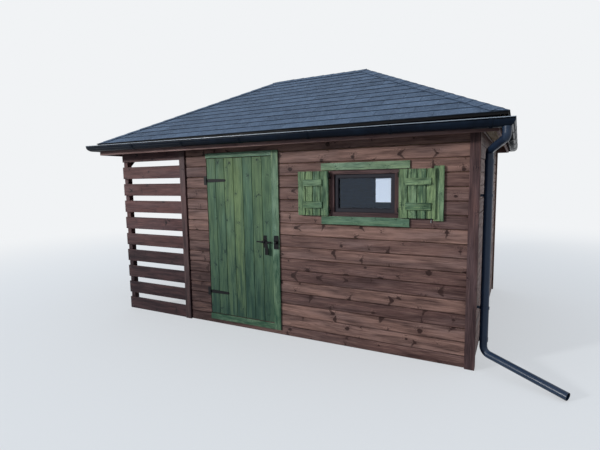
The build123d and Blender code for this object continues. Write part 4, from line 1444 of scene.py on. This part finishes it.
@dataclass
class Window(SubAssembly):
    """Timber lining, dark frame with a glazing bead, pane and a blank sheet on it."""

    lining_width: float = 0.038
    lining_edge: float = 0.0012
    sash_width: float = 0.033
    sash_edge: float = 0.003
    bead_width: float = 0.006
    bead_depth: float = 0.008
    bead_edge: float = 0.002
    bead_inset: float = 0.006
    sheet_left: float = 1.159
    sheet_bottom: float = 1.353
    sheet_size: tuple[float, float] = (0.148, 0.210)
    sheet_gap: float = 0.0008
    sheet_curl: float = 0.0015
    sheet_flat: float = 0.8
    sheet_thickness: float = 0.0003

    def ring(self, name: str, box: Extent, width: float, edge: float) -> Piece:
        """A frame of even width with eased edges, open from front to back."""
        piece = open_frame(name, box, 1, width)
        ease(piece, edge)
        return piece

    def lining(self) -> None:
        """Four lining boards of the opening."""
        box = node_extent("window_lining")
        (left, _, bottom), (right, _, top) = box.low, box.high
        width = self.lining_width
        jamb = box.span(2, bottom + width, top - width)
        stack = self.stack("lining_board", self.lining_edge)
        stack.add(box.span(2, bottom, bottom + width), Lay.FRONT)
        stack.add(box.span(2, top - width, top), Lay.FRONT)
        stack.add(jamb.span(0, left, left + width), Lay.UPRIGHT)
        stack.add(jamb.span(0, right - width, right), Lay.UPRIGHT)
        lining = stack.piece("window_lining_boards")
        # The lining takes the darker cover-board stain, partly as painted shade for the shaded reveal.
        dress(lining, self.finishes.covers, "window_lining")

    def sheet(self) -> None:
        """Blank sheet held flat on the outside of the pane, one corner curling a little."""
        face = node_extent("window_glass").low[1]
        deselect_all()
        bpy.ops.mesh.primitive_grid_add(x_subdivisions=6, y_subdivisions=8, size=1)
        piece = bpy.context.object
        piece.name = "blank_sheet"
        width, height = self.sheet_size
        centre = (self.sheet_left + width / 2, face - self.sheet_gap, self.sheet_bottom + height / 2)
        place = Matrix.Translation(centre) @ Matrix.Rotation(math.pi / 2, 4, "X")
        piece.data.transform(place @ Matrix.Diagonal((width, height, 1, 1)))
        right, level = self.sheet_left + width * self.sheet_flat, self.sheet_bottom + height * self.sheet_flat
        pick(piece, "FACE", lambda corners: all(c.x > right and c.z > level for c in corners))
        bpy.ops.transform.translate(value=(0, -self.sheet_curl, 0))
        close_edit()
        apply_modifier(piece, "SOLIDIFY", thickness=self.sheet_thickness, offset=0.0)
        dress(piece, self.finishes.paper)

    def build(self) -> None:
        """Makes the window from the lining inwards."""
        self.lining()
        box = node_extent("window_frame")
        frame = self.ring("frame_profile", box, self.sash_width, self.sash_edge)
        front = box.low[1] + self.bead_inset
        inner = box.span(0, box.low[0] + self.sash_width, box.high[0] - self.sash_width)
        inner = inner.span(2, box.low[2] + self.sash_width, box.high[2] - self.sash_width)
        bead = self.ring(
            "glazing_bead", inner.span(1, front, front + self.bead_depth), self.bead_width, self.bead_edge
        )
        piece = joined("window_frame_profile", [frame, bead])
        dress(piece, self.finishes.frame, "window_frame")
        refinish(bpy.data.objects["window_glass"], self.finishes.pane)
        self.sheet()


@dataclass
class Shutters(SubAssembly):
    """Two boarded shutters, each of upright planks on two battens."""

    planks: int = 4
    plank_thickness: float = 0.020
    batten_thickness: float = 0.013
    batten_height: float = 0.061
    batten_edge: float = 0.0015
    batten_levels: tuple[float, float] = (0.105, 0.308)
    batten_inset: float = 0.058
    strip_end_inset: float = 0.037
    joint_edge: float = 0.004
    joint: float = 0.005
    tongue: tuple[float, float] = (0.008, 0.013)
    strip_width: float = 0.079
    strip_overhang: float = 0.020
    strip_reach: float = 0.058

    def shutter(self, node: str, name: str, body: str, strip: bool) -> None:
        """One shutter, with the strip over the meeting edges where it has one.

        Args:
            node: CAD node to follow.
            name: Name of the piece.
            body: CAD body that carries it.
            strip: Whether it has the strip.
        """
        box = node_extent(node)
        low, high = list(box.low), list(box.high)
        if strip:
            high[0] -= self.strip_reach
            low[2] += self.strip_overhang
            high[2] -= self.strip_overhang
        front = box.low[1] + self.batten_thickness
        back = front + self.plank_thickness
        planks = self.stack("plank", 0.0, self.joint_edge)
        leaf = Extent(tuple(low), tuple(high)).span(1, front, back)
        planks.add_planks(leaf, self.planks, self.joint, self.tongue)
        parts = [planks.piece("planks")]
        stack = self.stack("batten", self.batten_edge)
        floor = node_extent("window_lining").low[2]
        end_inset = self.strip_end_inset if strip else self.batten_inset
        batten = box.span(0, low[0] + self.batten_inset, high[0] - end_inset).span(1, box.low[1], front)
        for level in self.batten_levels:
            bottom = floor + level - self.batten_height / 2
            stack.add(batten.span(2, bottom, bottom + self.batten_height), Lay.FRONT)
        if strip:
            cover = box.span(0, box.high[0] - self.strip_width, box.high[0]).span(1, back, box.high[1])
            stack.add(cover, Lay.UPRIGHT)
        parts.append(stack.piece("battens"))
        dress(joined(name, parts), self.finishes.shutters, node, body=body)

    def build(self) -> None:
        """Makes both shutters."""
        self.shutter("left_shutter", "left_shutter_boards", "left_shutter_leaf", False)
        self.shutter("right_shutter", "right_shutter_boards", "right_shutter_leaf", True)


@dataclass
class Gutters(SubAssembly):
    """Gutters that fall evenly towards the outlet, with a rounded bead along their rim."""

    fall: float = 0.0062
    level_at: float = 0.85
    bead: float = 0.006

    def sloped(self, piece: Piece) -> None:
        """Gives a level piece the gutters' fall."""
        lean = ((1, 0, 0, 0), (0, 1, 0, 0), (-self.fall, 0, 1, self.fall * self.level_at), (0, 0, 0, 1))
        piece.data.transform(Matrix(lean))

    def follow(self, node: str, name: str) -> None:
        """A CAD node's shape as a merged mesh with the fall."""
        piece = merged_copy(node, name)
        smooth(piece)
        self.sloped(piece)
        dress(piece, self.finishes.plastic, node)

    def rim(self) -> None:
        """Rounded bead along the outer rim of the four gutters, its pale grey a painted highlight."""
        top = node_extent("gutter_front").high[2]
        low = (node_extent("gutter_left").low[0], node_extent("gutter_front").low[1], top - self.bead)
        high = (node_extent("gutter_right").high[0], node_extent("gutter_back").high[1], top + self.bead / 5)
        piece = open_frame("gutter_rim_bead", Extent(low, high), 2, self.bead)
        ease(piece, self.bead / 3, 3)
        smooth(piece, ROUND_DEGREES)
        self.sloped(piece)
        dress(piece, self.finishes.lip)

    def build(self) -> None:
        """Makes the four gutters, their brackets and the rim."""
        for side in ("front", "back", "right", "left"):
            self.follow(f"gutter_{side}", f"{side}_gutter_run")
        self.follow("gutter_brackets", "gutter_bracket_straps")
        self.rim()


@dataclass
class Hardware(SubAssembly):
    """Screw heads on the iron, and finishes of the CAD nodes that stay as they are."""

    head: float = 0.0042
    small_head: float = 0.003
    strap_shares: tuple[float, ...] = (0.2, 0.55, 0.93)
    strap_face: float = 0.0043
    plate_face: float = 0.004
    plate_inset: float = 0.014
    plate_spread: float = 0.38
    bolt_face: float = 0.003
    bolt_inset: float = 0.010
    bolt_spread: float = 0.4
    slat_spread: float = 0.3
    hook_place: tuple[float, float] = (1.6365, 1.2215)
    hook_size: tuple[float, float, float] = (0.006, 0.003, 0.030)

    def screw_master(self, radius: float) -> Piece:
        """A low domed head that looks to the front."""
        deselect_all()
        bpy.ops.mesh.primitive_uv_sphere_add(segments=12, ring_count=6, radius=radius)
        piece = bpy.context.object
        open_whole(piece)
        bpy.ops.mesh.bisect(plane_co=(0, 0, radius / 2), plane_no=(0, 0, 1), use_fill=True, clear_inner=True)
        close_edit()
        flatter = Matrix.Diagonal((1, 1, 0.8, 1)) @ Matrix.Translation((0, 0, -radius / 2))
        piece.data.transform(Matrix.Rotation(math.pi / 2, 4, "X") @ flatter)
        smooth(piece, ROUND_DEGREES)
        return piece

    def screws(
        self, name: str, radius: float, points: Sequence[Vector], finish: Finish, body: str = "building"
    ) -> None:
        """Screw heads at some points on surfaces that look to the front."""
        master = self.screw_master(radius)
        heads = [placed_copy(master, Matrix.Translation(point)) for point in points]
        discard(master)
        dress(joined(name, heads), finish, body=body)

    def above_and_below(
        self, box: Extent, columns: Sequence[float], face: float, spread: float
    ) -> list[Vector]:
        """Two points in each column, a share of the box's height above and below its middle.

        Args:
            box: Box of the plate or slat that is screwed.
            columns: Where the columns stand along X.
            face: Where the heads sit along Y.
            spread: The share.

        Returns:
            The points, column by column.
        """
        rise = box.size.z * spread
        return [Vector((x, face, box.centre.z + side * rise)) for x in columns for side in (-1, 1)]

    def bolt_points(self, node: str, face: float) -> list[Vector]:
        """Four points near the corners of one of the bolt's plates."""
        box = node_extent(node)
        columns = (box.low[0] + self.bolt_inset, box.high[0] - self.bolt_inset)
        return self.above_and_below(box, columns, face - self.bolt_face, self.bolt_spread)

    def shutter_hook(self) -> None:
        """Small zinc hook on the wall below the right shutter."""
        x, top = self.hook_place
        width, depth, height = self.hook_size
        wall = node_extent("front_wall_right").low[1]
        foot, low, end = wall - 4 * depth, top - height, x + width
        parts = [
            start_box("hook_plate", Extent((x, wall - depth, low), (end, wall, top))),
            start_box("hook_arm", Extent((x, foot, low), (end, wall - depth, low + depth))),
            start_box("hook_tip", Extent((x, foot, low + depth), (end, foot + depth, top - height / 2))),
        ]
        piece = joined("shutter_hook", parts)
        ease(piece, depth / 4)
        dress(piece, self.finishes.zinc)

    def slat_screws(self) -> None:
        """Two zinc screws at each end of each front slat."""
        columns = [post.centre.x for post in solid_extents("bay_posts") if post.centre.y < 0]
        points = []
        for slat in solid_extents("front_slats"):
            points += self.above_and_below(slat, columns, slat.low[1], self.slat_spread)
        self.screws("slat_screws", self.small_head, points, self.finishes.zinc)

    def build(self) -> None:
        """Screws the door's iron, and dresses the nodes that stay as they are."""
        iron = self.finishes.iron
        leaf, casing = node_extent("door_leaf").low[1], node_extent("door_casing").low[1]
        points = [
            Vector((strap.low[0] + share * strap.size.x, leaf - self.strap_face, strap.centre.z))
            for strap in solid_extents("door_straps")
            for share in self.strap_shares
        ]
        self.screws("strap_screws", self.head, points, iron, "door")
        points = []
        for plate in solid_extents("hinge_plates"):
            column = plate.low[0] + self.plate_inset
            points += self.above_and_below(plate, (column,), leaf - self.plate_face, self.plate_spread)
        self.screws("plate_screws", self.head, points + self.bolt_points("bolt_keeper", casing), iron)
        self.screws("guide_screws", self.head, self.bolt_points("bolt_guides", leaf), iron, "door")
        self.slat_screws()
        self.shutter_hook()
        for finish, nodes in (
            (self.finishes.pipe, "downpipe_offset downpipe downpipe_foot pipe_clips"),
            (self.finishes.sheet_metal, "drip_edges"),
            (iron, "hinge_plates bolt_keeper shutter_pintles door_straps bolt_guides door_bolt"),
            (iron, "left_shutter_hinges right_shutter_hinges"),
        ):
            for node in nodes.split():
                refinish(bpy.data.objects[node], finish)


@dataclass
class Studio:
    """Pale floor, plain soft light and the camera at the photograph's place."""

    camera_place: tuple[float, float, float] = (2.2629, -4.8886, 1.5603)
    turned_left: float = 27.8192
    looks_down: float = 6.2574
    roll: float = -0.9261
    lens: float = 24.82
    sensor_width: float = 36.0
    floor_size: float = 80.0
    floor_colour: str = "#c9cccf"
    bounce_colour: str = "#6f7276"
    sky_colour: str = "#f1f3f5"
    light_colour: str = "#e6f0fb"
    key_from_left: float = 42.0
    key_height: float = 16.0
    key_size: float = 6.0
    key_strength: float = 2.1
    fade: tuple[float, float] = (3.5, 11.0)

    def camera(self) -> None:
        """Sets the camera."""
        data = bpy.data.cameras.new("camera")
        data.lens = self.lens
        data.sensor_width = self.sensor_width
        camera = bpy.data.objects.new("camera", data)
        bpy.context.scene.collection.objects.link(camera)
        turn = (
            Matrix.Rotation(math.radians(self.turned_left), 4, "Z")
            @ Matrix.Rotation(math.radians(90 - self.looks_down), 4, "X")
            @ Matrix.Rotation(math.radians(self.roll), 4, "Z")
        )
        camera.matrix_world = Matrix.Translation(self.camera_place) @ turn
        bpy.context.scene.camera = camera

    def seen(self, add: Adder) -> Node:
        """1 where the camera, a reflection or a look through glass meets the backdrop, 0 where light does."""
        rays = add("LightPath").outputs
        direct = add("Math", (rays["Is Camera Ray"], rays["Is Glossy Ray"]), operation="MAXIMUM")
        return add("Math", (direct, rays["Is Transmission Ray"]), operation="MAXIMUM")

    def floor(self) -> None:
        """Plain pale floor that keeps the shadow and fades into the backdrop with distance."""
        deselect_all()
        bpy.ops.mesh.primitive_plane_add(size=self.floor_size, location=(0, 0, 0))
        floor = bpy.context.object
        floor.name = "studio_floor"
        material, add = empty_material("studio_floor")
        far = add("VectorMath", (add("TexCoord").outputs["Object"],), operation="LENGTH")
        weathered_and_sheen = add("MapRange", (far, *self.fade, 0.5, 1.0), interpolation_type="SMOOTHSTEP")
        pale = add("BsdfDiffuse", {"Color": self.floor_colour})
        glow = add("Emission", {"Color": self.sky_colour, "Strength": 1.0})
        bounce = add("BsdfDiffuse", {"Color": self.bounce_colour})
        shown = add("MixShader", (weathered_and_sheen, pale, glow))
        add("OutputMaterial", (add("MixShader", (self.seen(add), bounce, shown)),))
        floor.data.materials.append(material)

    def light(self) -> None:
        """Soft sky light, and a low key from the front left that draws the eaves' shadow."""
        world = bpy.data.worlds.new("studio")
        world.use_nodes = True
        world.node_tree.nodes.clear()
        add = partial(add_node, world.node_tree)
        place = add("TexCoord").outputs["Generated"]
        height = add("SeparateXYZ", (place,)).outputs["Z"]
        level = add("MapRange", (height, 0.0, 0.8, 0.3, 1.15), interpolation_type="SMOOTHSTEP")
        lit = add("Background", {"Color": self.light_colour, "Strength": level})
        backdrop = add("Background", {"Color": self.sky_colour, "Strength": 1.0})
        add("OutputWorld", (add("MixShader", (self.seen(add), lit, backdrop)),))
        bpy.context.scene.world = world
        sun = bpy.data.lights.new("soft_key", "SUN")
        sun.energy = self.key_strength
        sun.angle = math.radians(self.key_size)
        key = bpy.data.objects.new("soft_key", sun)
        round_turn = Matrix.Rotation(math.radians(-self.key_from_left), 4, "Z")
        key.matrix_world = round_turn @ Matrix.Rotation(math.radians(90 - self.key_height), 4, "X")
        bpy.context.scene.collection.objects.link(key)

    def build(self) -> None:
        """Sets up camera, floor and light."""
        self.camera()
        self.floor()
        self.light()
        bpy.context.scene.view_settings.view_transform = "Standard"


def main() -> None:
    """Builds the scene."""
    logging.basicConfig(level=logging.INFO, format="%(name)s %(message)s")
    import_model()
    dice = random.Random(SEED)
    finishes = make_finishes()
    Studio().build()
    for assembly in (WallBoards, Timbers, ShingleRoof, Door, Window, Shutters, Gutters, Hardware):
        assembly(finishes, dice).build()


if __name__ == "__main__":
    main()
